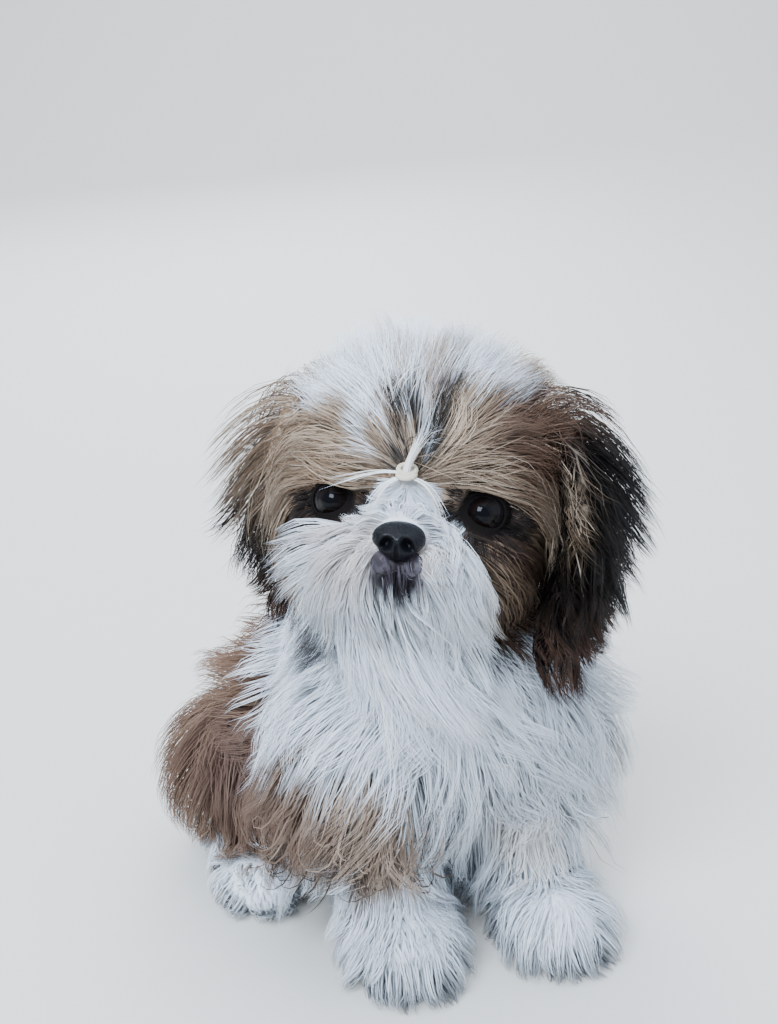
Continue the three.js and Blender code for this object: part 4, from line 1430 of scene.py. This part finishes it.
class PUPPY_OT_nose(bpy.types.Operator):
    """Nose leather: a broad pad with two nostrils, wings and a groove"""

    bl_idname = "puppy.nose"
    bl_label = "Nose"

    def execute(self, context):
        half = context.scene.puppy_sizes.nose_width / MM / 2
        piece = head_ball("nose_leather", (0, 0, 0), (1 / MM, 1 / MM, 1 / MM), 96, 96, (0, -1, 0))
        ball = head_points(piece)
        ball = unit(ball - ball.mean(0))
        x, y, z = ball.T
        broad = 1 + 0.1 * z + 0.3 * np.minimum(z + 0.1, 0)
        flat = np.where(y < 0, -np.abs(y) ** 0.8 * 0.9, y)
        q = np.column_stack([x * broad * half, flat * NOSE_HALF, z * NOSE_HALF - 0.6 * (1 - x * x)])
        top = ramp(z, 0.2, 1.0)
        q[:, 1] += 2.2 * top * (y < 0.4)
        q[:, 1] += 1.6 * ramp(-z, 0.35, 1.0) * (y < 0.2)
        for side, _ in SIDES:
            px = q[:, 0] * side - NOSTRIL_AT[0]
            pz = q[:, 2] - NOSTRIL_AT[1]
            hole = np.exp(-((px / NOSTRIL_R) ** 2 + ((pz + 0.25 * px) / NOSTRIL_R) ** 2) ** 1.4)
            q[:, 1] += NOSTRIL_DEEP * hole * (y < 0)
            rim = np.exp(-(((np.hypot(px / 3.5, pz / 3.3) - 1) / 0.32) ** 2))
            q[:, 1] -= NOSTRIL_RIM * rim * (y < 0)
            slit = np.exp(-(((px - 3.4) / 2.2) ** 2) - ((pz + 1.9) / 0.7) ** 2)
            q[:, 1] += SLIT_DEEP * slit * (y < 0)
        groove = np.exp(-((q[:, 0] / GROOVE_HALF) ** 2)) * ramp(-q[:, 2], -2.0, 2.5)
        q[:, 1] += GROOVE_DEEP * groove * (y < 0)
        place_head_points(piece, NOSE_AT + q)
        shade_smooth(piece)
        give(piece, nose_material(context.scene.puppy_colours), "nose", "nose")
        return {"FINISHED"}


PEBBLE = 0.75


def nose_material(colours):
    """Nose leather: slate black, pebbled in cells of 0.75 mm, moist with a broad dull shine."""
    material, tree = new_material("nose_leather")
    place = add_node(tree, "ShaderNodeTexCoord")
    values = {"feature": "SMOOTH_F1", "Scale": 1 / (PEBBLE * MM), "Smoothness": 0.4}
    pebbles = add_node(tree, "ShaderNodeTexVoronoi", values, {"Vector": (place, "Object")}), "Distance"
    # Painted light and shade: the leather is paler on the pebbles and darker in the sunk grooves between
    # them.
    colour = shades(tree, pebbles, colours.nose, 1.5, 0.5)
    values = {"Roughness": 0.36, "Specular IOR Level": 0.16}
    close_material(tree, colour, values, relief=pebbles, strength=0.7, deep=0.22, sunk=True)
    return material


LIP_RISE = 0.6
LIP_GRAIN = 0.5
LIP_SMOOTHING = 14
LIP_GROOVE_HALF = 0.8
LIP_GROOVE_DEEP = 0.7
LIP_FORMS = [
    ((4.1, -49.6, -21.2), (5.6, 4.8, 5.0)),
    ((-4.1, -49.6, -21.2), (5.6, 4.8, 5.0)),
]
CHIN_FORMS = [
    ((0, -49.0, -28.8), (7.4, 5.4, 4.2)),
    ((0, -48.8, -29.6), (5.0, 5.4, 4.6)),
]


class PUPPY_OT_lips(bpy.types.Operator):
    """Upper lips with the groove between them, and the dark lower lip"""

    bl_idname = "puppy.lips"
    bl_label = "Lips"

    def execute(self, context):
        material = lip_material()
        for name, forms, marks, groove, slot in (
            ("lip_upper", LIP_FORMS, upper_lip_marks, LIP_GROOVE_DEEP, "coat_white"),
            ("lip_lower", CHIN_FORMS, lower_lip_marks, 0, "coat_dark"),
        ):
            piece = join([head_ball(name, centre, radii, 32, 20) for centre, radii in forms], name)
            grain = LIP_GRAIN * MM
            apply_modifier(piece, "REMESH", mode="VOXEL", voxel_size=grain, use_smooth_shade=True)
            apply_modifier(piece, "SMOOTH", factor=0.5, iterations=LIP_SMOOTHING)
            q = head_points(piece)
            height, normal = look(to_body(q))[:2]
            rise = np.where(height > 0, LIP_RISE * (1 - np.exp(-height / LIP_RISE)), height)
            q = to_head(to_body(q) + normal * (rise - height)[:, None])
            q[:, 1] += groove * np.exp(-((q[:, 0] / LIP_GROOVE_HALF) ** 2)) * (rise > 0.2)
            place_head_points(piece, q)
            paint(piece, marks(q, inks()))
            shade_smooth(piece)
            give(piece, material, slot)
        return {"FINISHED"}


def upper_lip_marks(q, ink):
    """Mauve, a little paler in patches, dark in the groove and at the edge below."""
    colour = mix(all_over(ink["lip"], q), ink["beige"], 0.06 * ramp(ripple(q, 3.6, 2.0), -0.1, 0.5))
    edge = np.maximum(np.exp(-(q[:, 0] ** 2)), ramp(-q[:, 2], 24.2, 25.8))
    return mix(colour, ink["black"], np.maximum(0.8 * edge, 0.45 * lip_specks(q)))


def lower_lip_marks(q, ink):
    """Mauve with dark specks, darkest at the edge above."""
    edge = 1 - ramp(-q[:, 2], 25.5, 27)
    dark = np.maximum(0.35 + 0.35 * lip_specks(q), 0.85 * edge)
    return mix(all_over(ink["lip"], q), ink["black"], dark)


def lip_specks(q):
    return ramp(ripple(q, 2.4, 0.5), -0.3, 0.4)


def lip_material():
    """Lips: bare damp skin, dark mauve to black, with fine pores."""
    material, tree = new_material("bare_lip_skin")
    pores = object_noise(tree, 0.5, 3.0)
    colour = grained_marking(tree, pores, 0.75, 1.1)
    close_material(tree, colour, {"Roughness": 0.45}, relief=pores, strength=0.5, deep=0.15)
    return material


# The band's ring and wire radii, how far its two turns lie from the knot's middle, each way, and
# the tilt that they share and the one in which they differ, in radians.
BAND_RING = 3.0
BAND_WIRE = 0.95
BAND_TURN_APART = np.array([0, 0.4, 0.9])
BAND_TILT = (0.5, 0.0)
BAND_TURN_TILT = (0.1, 0.06)

# The tuft through the band and the hairs that escape from it: places on the head and a radius.
KNOT_LINE = [
    (0, -40, 4, 5.0),
    (0.4, -47, 9, 2.0),
    (1, -50, 13.5, 1.6),
    (2.6, -52.2, 17.5, 1.5),
    (4.6, -52.8, 22, 2.2),
    (7.2, -51.6, 28, 4.2),
]
LOOSE_LINES = [
    [(0, -49.5, 11, 0.9), (-9, -51, 10.6, 1.6), (-19, -48, 7.5, 3.2), (-30, -43, 3, 6.0)],
    [(1, -49.5, 10, 0.8), (8, -51, 7.5, 1.2), (13, -50, 1, 1.8), (16, -47.5, -7, 3.6)],
    [(0, -49.5, 10, 0.8), (-6, -51, 7, 1.6), (-10, -50.5, 1, 2.6), (-12, -49, -4, 3.6)],
]


class PUPPY_OT_hair_tie(bpy.types.Operator):
    """Elastic band wound twice round the forehead tuft"""

    bl_idname = "puppy.hair_tie"
    bl_label = "Hair tie"

    def execute(self, context):
        turns = []
        for layer in (-1, 1):
            choose_none()
            tilts = [a + b * layer for a, b in zip(BAND_TILT, BAND_TURN_TILT)]
            tilt = Euler((*tilts, 0)).to_matrix()
            turn = (Matrix(HEAD_TURN.tolist()) @ tilt).to_euler()
            middle = KNOT_AT + BAND_TURN_APART * layer
            bpy.ops.mesh.primitive_torus_add(
                major_segments=56,
                minor_segments=16,
                major_radius=BAND_RING * MM,
                minor_radius=BAND_WIRE * MM,
                location=metres(to_body(middle)),
                rotation=turn,
            )
            turns.append(bpy.context.object)
        piece = join(turns, "elastic_band")
        shade_smooth(piece)
        give(piece, band_material(context.scene.puppy_colours), "hair_tie", "hair_tie")
        return {"FINISHED"}


# The threads' distance, and how far a wave texture of scale 1 turns in one unit across its bands.
THREAD = 0.133
WAVE_TURN = 10 * math.sqrt(3)


def band_material(colours):
    """Covered elastic: fine cream threads wound round a rubber core, soft and matt."""
    material, tree = new_material("covered_elastic")
    place = add_node(tree, "ShaderNodeTexCoord")
    scale = 2 * math.pi / (WAVE_TURN * THREAD * MM)
    values = {"Scale": scale, "Distortion": 1.2, "bands_direction": "DIAGONAL"}
    threads = add_node(tree, "ShaderNodeTexWave", values, {"Vector": (place, "Object")}), "Fac"
    colour = shades(tree, threads, colours.band, 0.7)
    close_material(tree, colour, {"Roughness": 0.7}, relief=threads, strength=0.6, deep=0.12)
    return material


def muzzle_region(q):
    """Where the white hair of the muzzle grows."""
    x, y, z = q.T
    return ((x / 25) ** 2 + ((z + 24) / 21) ** 2 < 1) & (y < -14)


def bridge_comb(p, normal):
    """The hair between the eyes is drawn up into the band."""
    return unit(to_body(KNOT_AT + np.array([0, -0.5, -2.5])) - p)


def bridge_length(p):
    """Nearly up to the band."""
    return 0.95 * np.linalg.norm(to_body(KNOT_AT) - p, axis=1)


def brow_length(p):
    """Short at the bridge of the nose, long where the brows fan out over the ears."""
    return lerp(36, 68, ramp(np.abs(to_head(p)[:, 0]), 6, 24))


def rim_comb_for(side):
    """Short hair round an eye: it lies away from the eye and a little down."""

    def comb(p, normal):
        q = to_head(p)
        return head_way(unit(q - eye_place(side)) + 0.3 * HEAD_DOWN) + 0.3 * normal

    return comb


BEARD_LENGTH = 66
MOUTH_HAIR_LENGTH = 3.2
BRIDGE_SIDE_LENGTH = 9


def muzzle_length(p):
    """Short on the bridge and beside the nose, long in the moustache and beard."""
    q = to_head(p)
    x, z = q[:, 0], q[:, 2]
    away = np.linalg.norm((q - NOSE_AT) * np.array([1, 0.5, 1]), axis=1)
    lengths = lerp(8, lerp(44, 34, ramp(x, -4, 12)), ramp(away, 9, 21))
    lengths = lerp(lengths, BRIDGE_SIDE_LENGTH, ramp(z, -12, -6) * (1 - ramp(np.abs(x), 8, 12)))
    lengths = lerp(lengths, BEARD_LENGTH, ramp(-z, 26, 38) * ramp(away, 13, 22))
    under = (1 - ramp(np.abs(x), 6, 11)) * ramp(-z, 16, 18) * (1 - ramp(-z, 31, 34))
    return lerp(lengths, MOUTH_HAIR_LENGTH, under)


# How each brow lies: the left one stands off and falls, the right one is held nearer.
BROW_LIE = {
    "left": {"cling": 0.6, "hold": 0.0, "lift": 0.14, "droop": 0.22},
    "right": {"cling": 0.8, "hold": 0.2, "lift": 0.04, "droop": 0.3},
}


class PUPPY_OT_coat_head(bpy.types.Operator):
    """Coat of the head: bridge, muzzle, brows, cheeks, rims of the eyes, crown and nape"""

    bl_idname = "puppy.coat_head"
    bl_label = "Coat of the head"

    def execute(self, context):
        q, _, part = centres()
        x, y, z = q.T
        wide = np.abs(x)
        head = part == "head"
        near_eye = eye_distance(q)
        open_skin = near_eye > 10.0
        under_nose = (wide < 9) & (y < -36) & (z < -17) & (z > -34)
        on_nose = np.linalg.norm((q - NOSE_AT) / np.array([8.4, 9, 6.0]), axis=1) < 1
        muzzle = head & muzzle_region(q) & ~on_nose
        brow = head & ~muzzle & (y < -4) & (z > 3 - 0.12 * wide) & open_skin
        crown = head & ~brow & ~muzzle & (z > 6)
        cheek = head & ~brow & ~muzzle & ~crown & (y < 8) & open_skin
        nape = head & ~brow & ~muzzle & ~crown & ~cheek & (y > 0)
        rims = head & (near_eye < 15.5) & (near_eye > 9.0) & (y < -20) & (wide > 12) & ~muzzle
        between = (wide < 15) & (z > -9) & (z < 8) & (y < -24) & (near_eye > 10.6)
        bridge = head & ~muzzle & ~on_nose & between
        brow = brow & ~(bridge & (z < 7 - 0.3 * wide))
        cheek = cheek & ~bridge
        grow_coat(
            "coat_bridge", "bridge", bridge, bridge_comb, "coat_white",
            triangles=22000, length=bridge_length, width=0.42, cling=0.4, clear_face=True,
            tuft=0.4, lock=0.2, wave=0.4, sink=1.0, least=0.5, hold=0.2, puff=1.0, stray=0.08,
            wander=0.5, fingers=1.0,
        )
        lid_hairs()
        grow_coat(
            "coat_muzzle", "muzzle", muzzle * np.where(under_nose, 0.4, 1.0), muzzle_comb, "coat_white",
            triangles=178000, length=muzzle_length, width=0.44, cling=0.4, clear_face=True,
            tuft=0.75, lock=0.45, wave=2.8, sink=1.0, least=0.5, lift=0.14, swirl=0.55, hold=0.15,
            puff=8.0, wander=0.8, droop=0.22, stray=0.12, relief=0.5,
        )
        for side, name in SIDES:
            mine = side * x > 0
            grow_coat(
                "coat_brow_" + name, "crown", brow * mine * lerp(1.3, 0.8, ramp(wide, 10, 50)), head_comb,
                "coat_brown", triangles=127000, length=brow_length, width=0.48, clear_face=True,
                tuft=0.75, lock=0.5, wave=2.0, over_ears=26.0, stations=7, puff=4.0, stray=0.08,
                wander=0.7, fingers=5.0, pale_tip=0.3, **BROW_LIE[name],
            )
            grow_coat(
                "coat_cheek_" + name, "cheek", cheek & mine, head_comb, "coat_dark",
                triangles=32000, length=46, width=0.85, cling=0.7, clear_face=True,
                tuft=0.65, lock=0.5, wave=1.6, hold=0.5,
            )
            grow_coat(
                "coat_eye_rim_" + name, "rim", rims & mine, rim_comb_for(side), "coat_dark",
                triangles=16000, length=8, width=0.45, cling=0.6, clear_eye=True,
                tuft=0.4, lock=0.2, wave=0.2, stations=4, sink=0.6, least=0.3, swirl=0.1,
            )
        grow_coat(
            "coat_crown", "crown", crown, head_comb, "coat_white",
            triangles=100000, length=54, width=0.7, cling=0.85,
            tuft=0.75, lock=0.5, wave=3.2, over_ears=8.0, lift=0.03, stray=0.1, swirl=0.5,
            fingers=7.0, relief=0.6,
        )
        grow_coat(
            "coat_nape", "crown", nape, head_comb, "coat_brown",
            triangles=21000, length=50, width=1.2, cling=0.85, tuft=0.65, lock=0.5, wave=1.8,
        )
        return {"FINISHED"}


# Hairs on each lid, the points of each, and how near the eyes the skin lends them its unwrap.
LID_HAIRS = 760
LID_STATIONS = 5
LID_SKIN_NEAR = 60


def lid_hairs():
    """Short black hair on the lids, laid away from their edges."""
    skin = the_skin()
    rng = np.random.default_rng(SEED + 3)
    radius = bpy.context.scene.puppy_sizes.eye_radius / MM
    share = np.linspace(0, 1, LID_STATIONS)
    paths = []
    ups = []
    for side, _ in SIDES:
        across = rng.random(LID_HAIRS) * 2 * math.pi
        start = lid_opening(across) + rng.uniform(0.05, 0.85, LID_HAIRS)
        angle = start[:, None] + rng.uniform(0.3, 0.6, (LID_HAIRS, 1)) * share
        across = across[:, None] + rng.normal(0, 0.12, (LID_HAIRS, 1)) * share
        way = round_eye(eye_gaze(side), across, angle)
        reach = radius + 0.9 + rng.uniform(0.5, 1.7, (LID_HAIRS, 1)) * share
        paths.append(eye_place(side) + way * reach[..., None])
        ups.append(way)
    paths = np.concatenate(paths)
    ups = head_way(np.concatenate(ups))
    body = to_body(paths.reshape(-1, 3)).reshape(paths.shape)
    brow_middle = to_body(EYE_AT * np.array([0, 1, 1]))
    near = np.linalg.norm(skin.centre - brow_middle, axis=1) < LID_SKIN_NEAR
    nearest = ((body[:, 0][:, None] - skin.centre[near][None]) ** 2).sum(2).argmin(1)
    uv = skin.uv[near].mean(1)[nearest]
    shade = rng.uniform(0.7, 1.8, (len(body), 1, 1))
    colours = np.tile(inks()["black"], (len(body), LID_STATIONS, 1)) * shade
    piece = blades("coat_lids", body, ups, rng.uniform(0.3, 0.5, len(body)), colours, uv, rng)
    give(piece, hair_material(), "coat_dark")


def ear_length(p):
    """Longer high on the ear than at its tip, so that the ear ends in a blunt tassel."""
    return lerp(46, 22, ramp(-to_head(p)[:, 2], -8, 46))


EAR_TRIANGLES = {"left": 112000, "right": 64000}


class PUPPY_OT_coat_ears(bpy.types.Operator):
    """Long hair of both ears, over the leather"""

    bl_idname = "puppy.coat_ears"
    bl_label = "Coat of the ears"

    def execute(self, context):
        q, _, part = centres()
        for side, name in SIDES:
            ear = "ear_" + name
            outer = np.where(side * q[:, 0] > 52, 1.0, lerp(0.5, 1.0, ramp(-q[:, 2], 10, 30)))
            outer = outer * lerp(1.0, 0.35, ramp(-q[:, 1], -8, 10) * ramp(q[:, 2], -16, 4))
            grow_coat(
                "coat_" + ear, "ear", (part == ear) * outer, ear_comb_for(ear), "coat_dark",
                triangles=EAR_TRIANGLES[name], length=ear_length, width=0.75, cling=0.15,
                tuft=0.7, lock=0.5, wave=3.2, turns=1.3, hold=0.0, puff=9.0, lift=0.25, stray=0.15,
                droop=0.5, fingers=6.0,
            )
        return {"FINISHED"}


def fringe_tips(paths, colours, chance, along, ink):
    """Dark ends on some hairs of the golden fringe at the right elbow."""
    inside = patch(paths[:, -1], (-52, -78, 46), (36, 30, 22), 0.3) * (chance < 0.4)
    dark = inside[:, None, None] * ramp(along, 0.45, 0.7)
    return colours + (ink["black"] * 1.6 - colours) * dark


def chest_length(p):
    """Longer low on the chest, where the hair hangs over the forelegs, and most on the left."""
    return lerp(54, lerp(48, 80, ramp(p[:, 0], -34, -20)), ramp(-p[:, 2], -100, -60))


BACK_TRIANGLES = {"left": 42000, "right": 60000}


class PUPPY_OT_coat_body(bpy.types.Operator):
    """Coat of the neck, chest, back and flanks, and the curled fringe at the right elbow"""

    bl_idname = "puppy.coat_body"
    bl_label = "Coat of the body"

    def execute(self, context):
        _, p, part = centres()
        x, y, z = p.T
        torso = (part == "torso") & (z > 10)
        chest = torso & (y < -14)
        grow_coat(
            "coat_neck", "body", part == "neck", neck_comb, "coat_white",
            triangles=70000, length=42, width=0.75, cling=0.7,
            tuft=0.8, lock=0.5, wave=2.8, puff=4.0, hold=0.5, stray=0.12, fingers=6.0, relief=0.6,
        )
        for side, name in SIDES:
            mine = side * x > 0
            grow_coat(
                "coat_chest_" + name, "body", chest & mine, torso_comb, "coat_white",
                triangles=102000, length=chest_length, width=0.7, cling=0.4,
                tuft=0.85, lock=0.6, wave=5.0, turns=1.4, stations=7, tips=fringe_tips, lift=0.1,
                stray=0.14, hold=0.1, puff=7.0, fingers=8.0, relief=0.8,
            )
            grow_coat(
                "coat_back_" + name, "body", torso & ~chest & mine, torso_comb, "coat_brown",
                triangles=BACK_TRIANGLES[name], length=36, width=1.0, cling=0.6,
                tuft=0.75, lock=0.4, wave=3.2, turns=1.4, lift=0.3, puff=15.0, stray=0.18, swirl=0.5,
                pale_tip=0.34, fingers=6.0, relief=0.8,
            )
        fringe = torso & (x < -24) & (x > -84) & (y < -36) & (z < 92)
        grow_coat(
            "coat_fringe", "fringe", fringe, torso_comb, "coat_brown",
            triangles=6000, length=50, width=1.5, cling=0.3,
            tuft=0.0, lock=0.0, wave=1.0, stations=15, lift=0.3, stray=0.1, hold=0.0, puff=14.0,
            ringlet=4.6, fingers=0.0,
        )
        return {"FINISHED"}


# Triangles and tuft width of each leg's coat.
LEG_HAIR = {
    "foreleg_left": (64000, 0.65),
    "foreleg_right": (70000, 0.65),
    "hindleg_left": (34000, 1.0),
    "hindleg_right": (56000, 0.85),
}


def leg_length(p):
    """Short on the feet, longer up the leg."""
    return lerp(lerp(18, 10, ramp(p[:, 1], -50, -30)), 34, ramp(p[:, 2], 14, 46))


class PUPPY_OT_coat_legs(bpy.types.Operator):
    """Coat of the legs, with fluffy feet"""

    bl_idname = "puppy.coat_legs"
    bl_label = "Coat of the legs"

    def execute(self, context):
        _, p, part = centres()
        for name, (triangles, width) in LEG_HAIR.items():
            grow_coat(
                "coat_" + name, "body", (part == name) & (p[:, 2] > 1.2), leg_comb,
                "coat_white" if name.startswith("foreleg") else "coat_brown",
                triangles=triangles, length=leg_length, width=width, cling=0.65,
                tuft=0.7, lock=0.35, wave=2.0, stations=5, tips=fringe_tips, lift=0.12, stray=0.14,
                pale_tip=0.2, fingers=5.0, relief=0.2, droop=0.2,
            )
        return {"FINISHED"}


class PUPPY_OT_coat_tail(bpy.types.Operator):
    """Plume of the tail, over the rump"""

    bl_idname = "puppy.coat_tail"
    bl_label = "Coat of the tail"

    def execute(self, context):
        grow_coat(
            "coat_tail", "tail", centres()[2] == "tail", tail_comb, "coat_brown",
            triangles=30000, length=36, width=1.1, cling=0.3, tuft=0.6, wave=2.0, most=12.0,
        )
        return {"FINISHED"}


# Hairs of the tuft and of each escaped lock, each with its shortest share of the length, then the
# points of each hair, and how deep and how high their spread is for its width.
KNOT_HAIRS = 80
KNOT_SHORTEST = 0.55
LOOSE_HAIRS = 9
LOOSE_SHORTEST = 0.75
KNOT_STATIONS = 9
KNOT_DEEP = 0.7
KNOT_HIGH = 0.5


def strands_along(stations, count, shortest, rng):
    """Strands along a line of the head, spread by each station's radius and cut at random lengths."""
    line = spline(stations, KNOT_STATIONS)
    turn = rng.random(count) * 2 * math.pi
    out = np.sqrt(rng.random(count))
    paths = np.tile(line[None, :, :3], (count, 1, 1))
    paths[:, :, 0] += (np.cos(turn) * out)[:, None] * line[:, 3]
    paths[:, :, 2] += (np.sin(turn) * out)[:, None] * line[:, 3] * KNOT_HIGH
    paths[:, :, 1] += (np.sin(turn) * out)[:, None] * line[:, 3] * KNOT_DEEP
    reach = rng.uniform(shortest, 1.0, count)
    steps = np.arange(KNOT_STATIONS)
    for i in range(count):
        u = steps * reach[i]
        paths[i] = np.stack([np.interp(u, steps, paths[i, :, k]) for k in range(3)], 1)
    return to_body(paths.reshape(-1, 3)).reshape(paths.shape)


class PUPPY_OT_topknot(bpy.types.Operator):
    """Forehead tuft, drawn through the band and fanned above it"""

    bl_idname = "puppy.topknot"
    bl_label = "Topknot"

    def execute(self, context):
        rng = np.random.default_rng(SEED + 7)
        ink = inks()
        lines = [(KNOT_LINE, KNOT_HAIRS, KNOT_SHORTEST)]
        lines += [(line, LOOSE_HAIRS, LOOSE_SHORTEST) for line in LOOSE_LINES]
        body = np.concatenate([strands_along(*line, rng) for line in lines])
        count = len(body)
        ups = np.tile(head_way(np.array([[0, -1.0, 0.2]]))[:, None], (count, KNOT_STATIONS, 1))
        chance = rng.random(count)
        base = mix(np.tile(ink["white"], (count, 1)), ink["cream"], 0.7 * (chance > 0.5))
        base = mix(base, ink["taupe"], 0.7 * (chance < 0.14))
        colours = np.tile(base[:, None], (1, KNOT_STATIONS, 1))
        skin = the_skin()
        root = ((skin.centre - body[:, 0].mean(0)) ** 2).sum(1).argmin()
        uv = np.tile(skin.uv[root].mean(0), (count, 1))
        uv = uv + rng.uniform(-PATCH_SPREAD, PATCH_SPREAD, uv.shape)
        widths = rng.uniform(0.2, 0.4, count)
        piece = blades("coat_topknot", body, ups, widths, colours, uv, rng)
        give(piece, hair_material(), "coat_white")
        return {"FINISHED"}


def select_edges(piece, chosen):
    """Selects the edges whose two ends are both chosen by their place, and stays in edit mode."""
    bpy.ops.object.mode_set(mode="EDIT")
    bpy.ops.mesh.select_all(action="DESELECT")
    bpy.ops.object.mode_set(mode="OBJECT")
    for edge in piece.data.edges:
        edge.select = all(chosen(piece.data.vertices[i].co) for i in edge.vertices)
    bpy.ops.object.mode_set(mode="EDIT")
    bpy.ops.mesh.select_mode(type="EDGE")


# The paper's bend: its reach as a share of the floor's side, and its steps.
FLOOR_BEND = 0.46
FLOOR_BEND_STEPS = 32


def build_floor(size, colours):
    """A square of studio paper that bends up into a wall behind the puppy."""
    choose_none()
    bpy.ops.mesh.primitive_plane_add(size=size, location=(0, 0, 0))
    floor = bpy.context.object
    select_edges(floor, lambda end: end.y > 0)
    bpy.ops.mesh.extrude_region_move(TRANSFORM_OT_translate={"value": (0, 0, size / 2)})
    bpy.ops.object.mode_set(mode="OBJECT")
    select_edges(floor, lambda end: end.y > 0 and abs(end.z) < MM)
    bpy.ops.mesh.bevel(offset=FLOOR_BEND * size, segments=FLOOR_BEND_STEPS, affect="EDGES")
    bpy.ops.object.mode_set(mode="OBJECT")
    floor.rotation_euler = (0, 0, -math.radians(CAMERA_TURN))
    floor = join([floor], "floor")
    shade_smooth(floor)
    floor.data.materials.append(floor_material(colours))


# Square lights: place and side in metres, the panel's power, a share of it, tint and aim.
ON_PUPPY = (0, 0, 0.12)
ON_WALL = (1.6, 3.0, 0.6)
LIGHTS = {
    "key": ((-1.05, -0.75, 1.3), 0.9, "key_power", 1, "#e2efff", ON_PUPPY),
    "fill": ((1.3, -0.9, 1.0), 2.4, "fill_power", 1, "#d8e8ff", ON_PUPPY),
    "top": ((0.1, 0.1, 1.8), 1.8, "fill_power", 1.6, "#eaf3ff", ON_PUPPY),
    "back": ((0.3, 1.2, 1.0), 1.0, "fill_power", 1, "#eaf3ff", ON_PUPPY),
    "wall": ((0.8, 1.4, 2.6), 2.4, "fill_power", 4, "#eaf3ff", ON_WALL),
}
SKY_TINT = "#dfebfa"


def build_lights(stage):
    for name, (place, side, power, share, tint, aim) in LIGHTS.items():
        bpy.ops.object.light_add(type="AREA", location=place)
        light = bpy.context.object
        light.name = name
        light.data.shape = "SQUARE"
        light.data.size = side
        light.data.energy = getattr(stage, power) * share
        light.data.color = linear(tint)
        way = Vector(aim) - Vector(place)
        light.rotation_euler = way.to_track_quat("-Z", "Y").to_euler()
    world = bpy.data.worlds.new("studio")
    world.use_nodes = True
    bpy.context.scene.world = world
    back = world.node_tree.nodes["Background"]
    back.inputs["Color"].default_value = (*linear(SKY_TINT), 1)
    back.inputs["Strength"].default_value = stage.sky


def build_camera():
    """The photograph's camera: its place, its turn and dip, and a lens on a sensor 36 mm wide."""
    turn = (math.radians(90 - CAMERA_DIP), 0, -math.radians(CAMERA_TURN))
    bpy.ops.object.camera_add(location=metres(CAMERA_AT), rotation=turn)
    camera = bpy.context.object
    camera.name = "photo_camera"
    camera.data.lens = CAMERA_LENS
    camera.data.sensor_width = CAMERA_SENSOR
    camera.data.clip_start = CAMERA_NEAREST * MM
    bpy.context.scene.camera = camera


class PUPPY_OT_stage(bpy.types.Operator):
    """Pale floor, soft studio light and the photograph's camera"""

    bl_idname = "puppy.stage"
    bl_label = "Stage"

    def execute(self, context):
        stage = context.scene.puppy_stage
        build_floor(stage.floor_size, context.scene.puppy_colours)
        build_lights(stage)
        build_camera()
        return {"FINISHED"}


def floor_material(colours):
    """Studio paper: pale, matt and even, with a trace of fibre."""
    material, tree = new_material("studio_paper")
    colour = shades(tree, object_noise(tree, 3, 2.0), colours.floor, 0.97)
    close_material(tree, colour, {"Roughness": 0.9})
    return material


OPERATORS = [
    PUPPY_OT_skin,
    PUPPY_OT_eyes,
    PUPPY_OT_lids,
    PUPPY_OT_nose,
    PUPPY_OT_lips,
    PUPPY_OT_hair_tie,
    PUPPY_OT_coat_head,
    PUPPY_OT_coat_ears,
    PUPPY_OT_coat_body,
    PUPPY_OT_coat_legs,
    PUPPY_OT_coat_tail,
    PUPPY_OT_topknot,
    PUPPY_OT_stage,
]


class PUPPY_PT_panel(bpy.types.Panel):
    """Sizes, colours and pieces of the puppy"""

    bl_label = "Puppy"
    bl_idname = "PUPPY_PT_panel"
    bl_space_type = "VIEW_3D"
    bl_region_type = "UI"
    bl_category = "Puppy"

    def draw(self, context):
        column = self.layout.column()
        for group in (context.scene.puppy_sizes, context.scene.puppy_colours, context.scene.puppy_stage):
            for name in group.__annotations__:
                column.prop(group, name)
        for operator in OPERATORS:
            column.operator(operator.bl_idname)


GROUPS = {"puppy_sizes": PuppySizes, "puppy_colours": PuppyColours, "puppy_stage": PuppyStage}
CLASSES = [*GROUPS.values(), *OPERATORS, PUPPY_PT_panel]


def register():
    for one in CLASSES:
        bpy.utils.register_class(one)
    for name, group in GROUPS.items():
        setattr(bpy.types.Scene, name, bpy.props.PointerProperty(type=group))


def unregister():
    for name in GROUPS:
        delattr(bpy.types.Scene, name)
    for one in reversed(CLASSES):
        bpy.utils.unregister_class(one)


def main():
    register()
    for operator in OPERATORS:
        name = operator.bl_idname.removeprefix("puppy.")
        getattr(bpy.ops.puppy, name)()


if __name__ == "__main__":
    main()
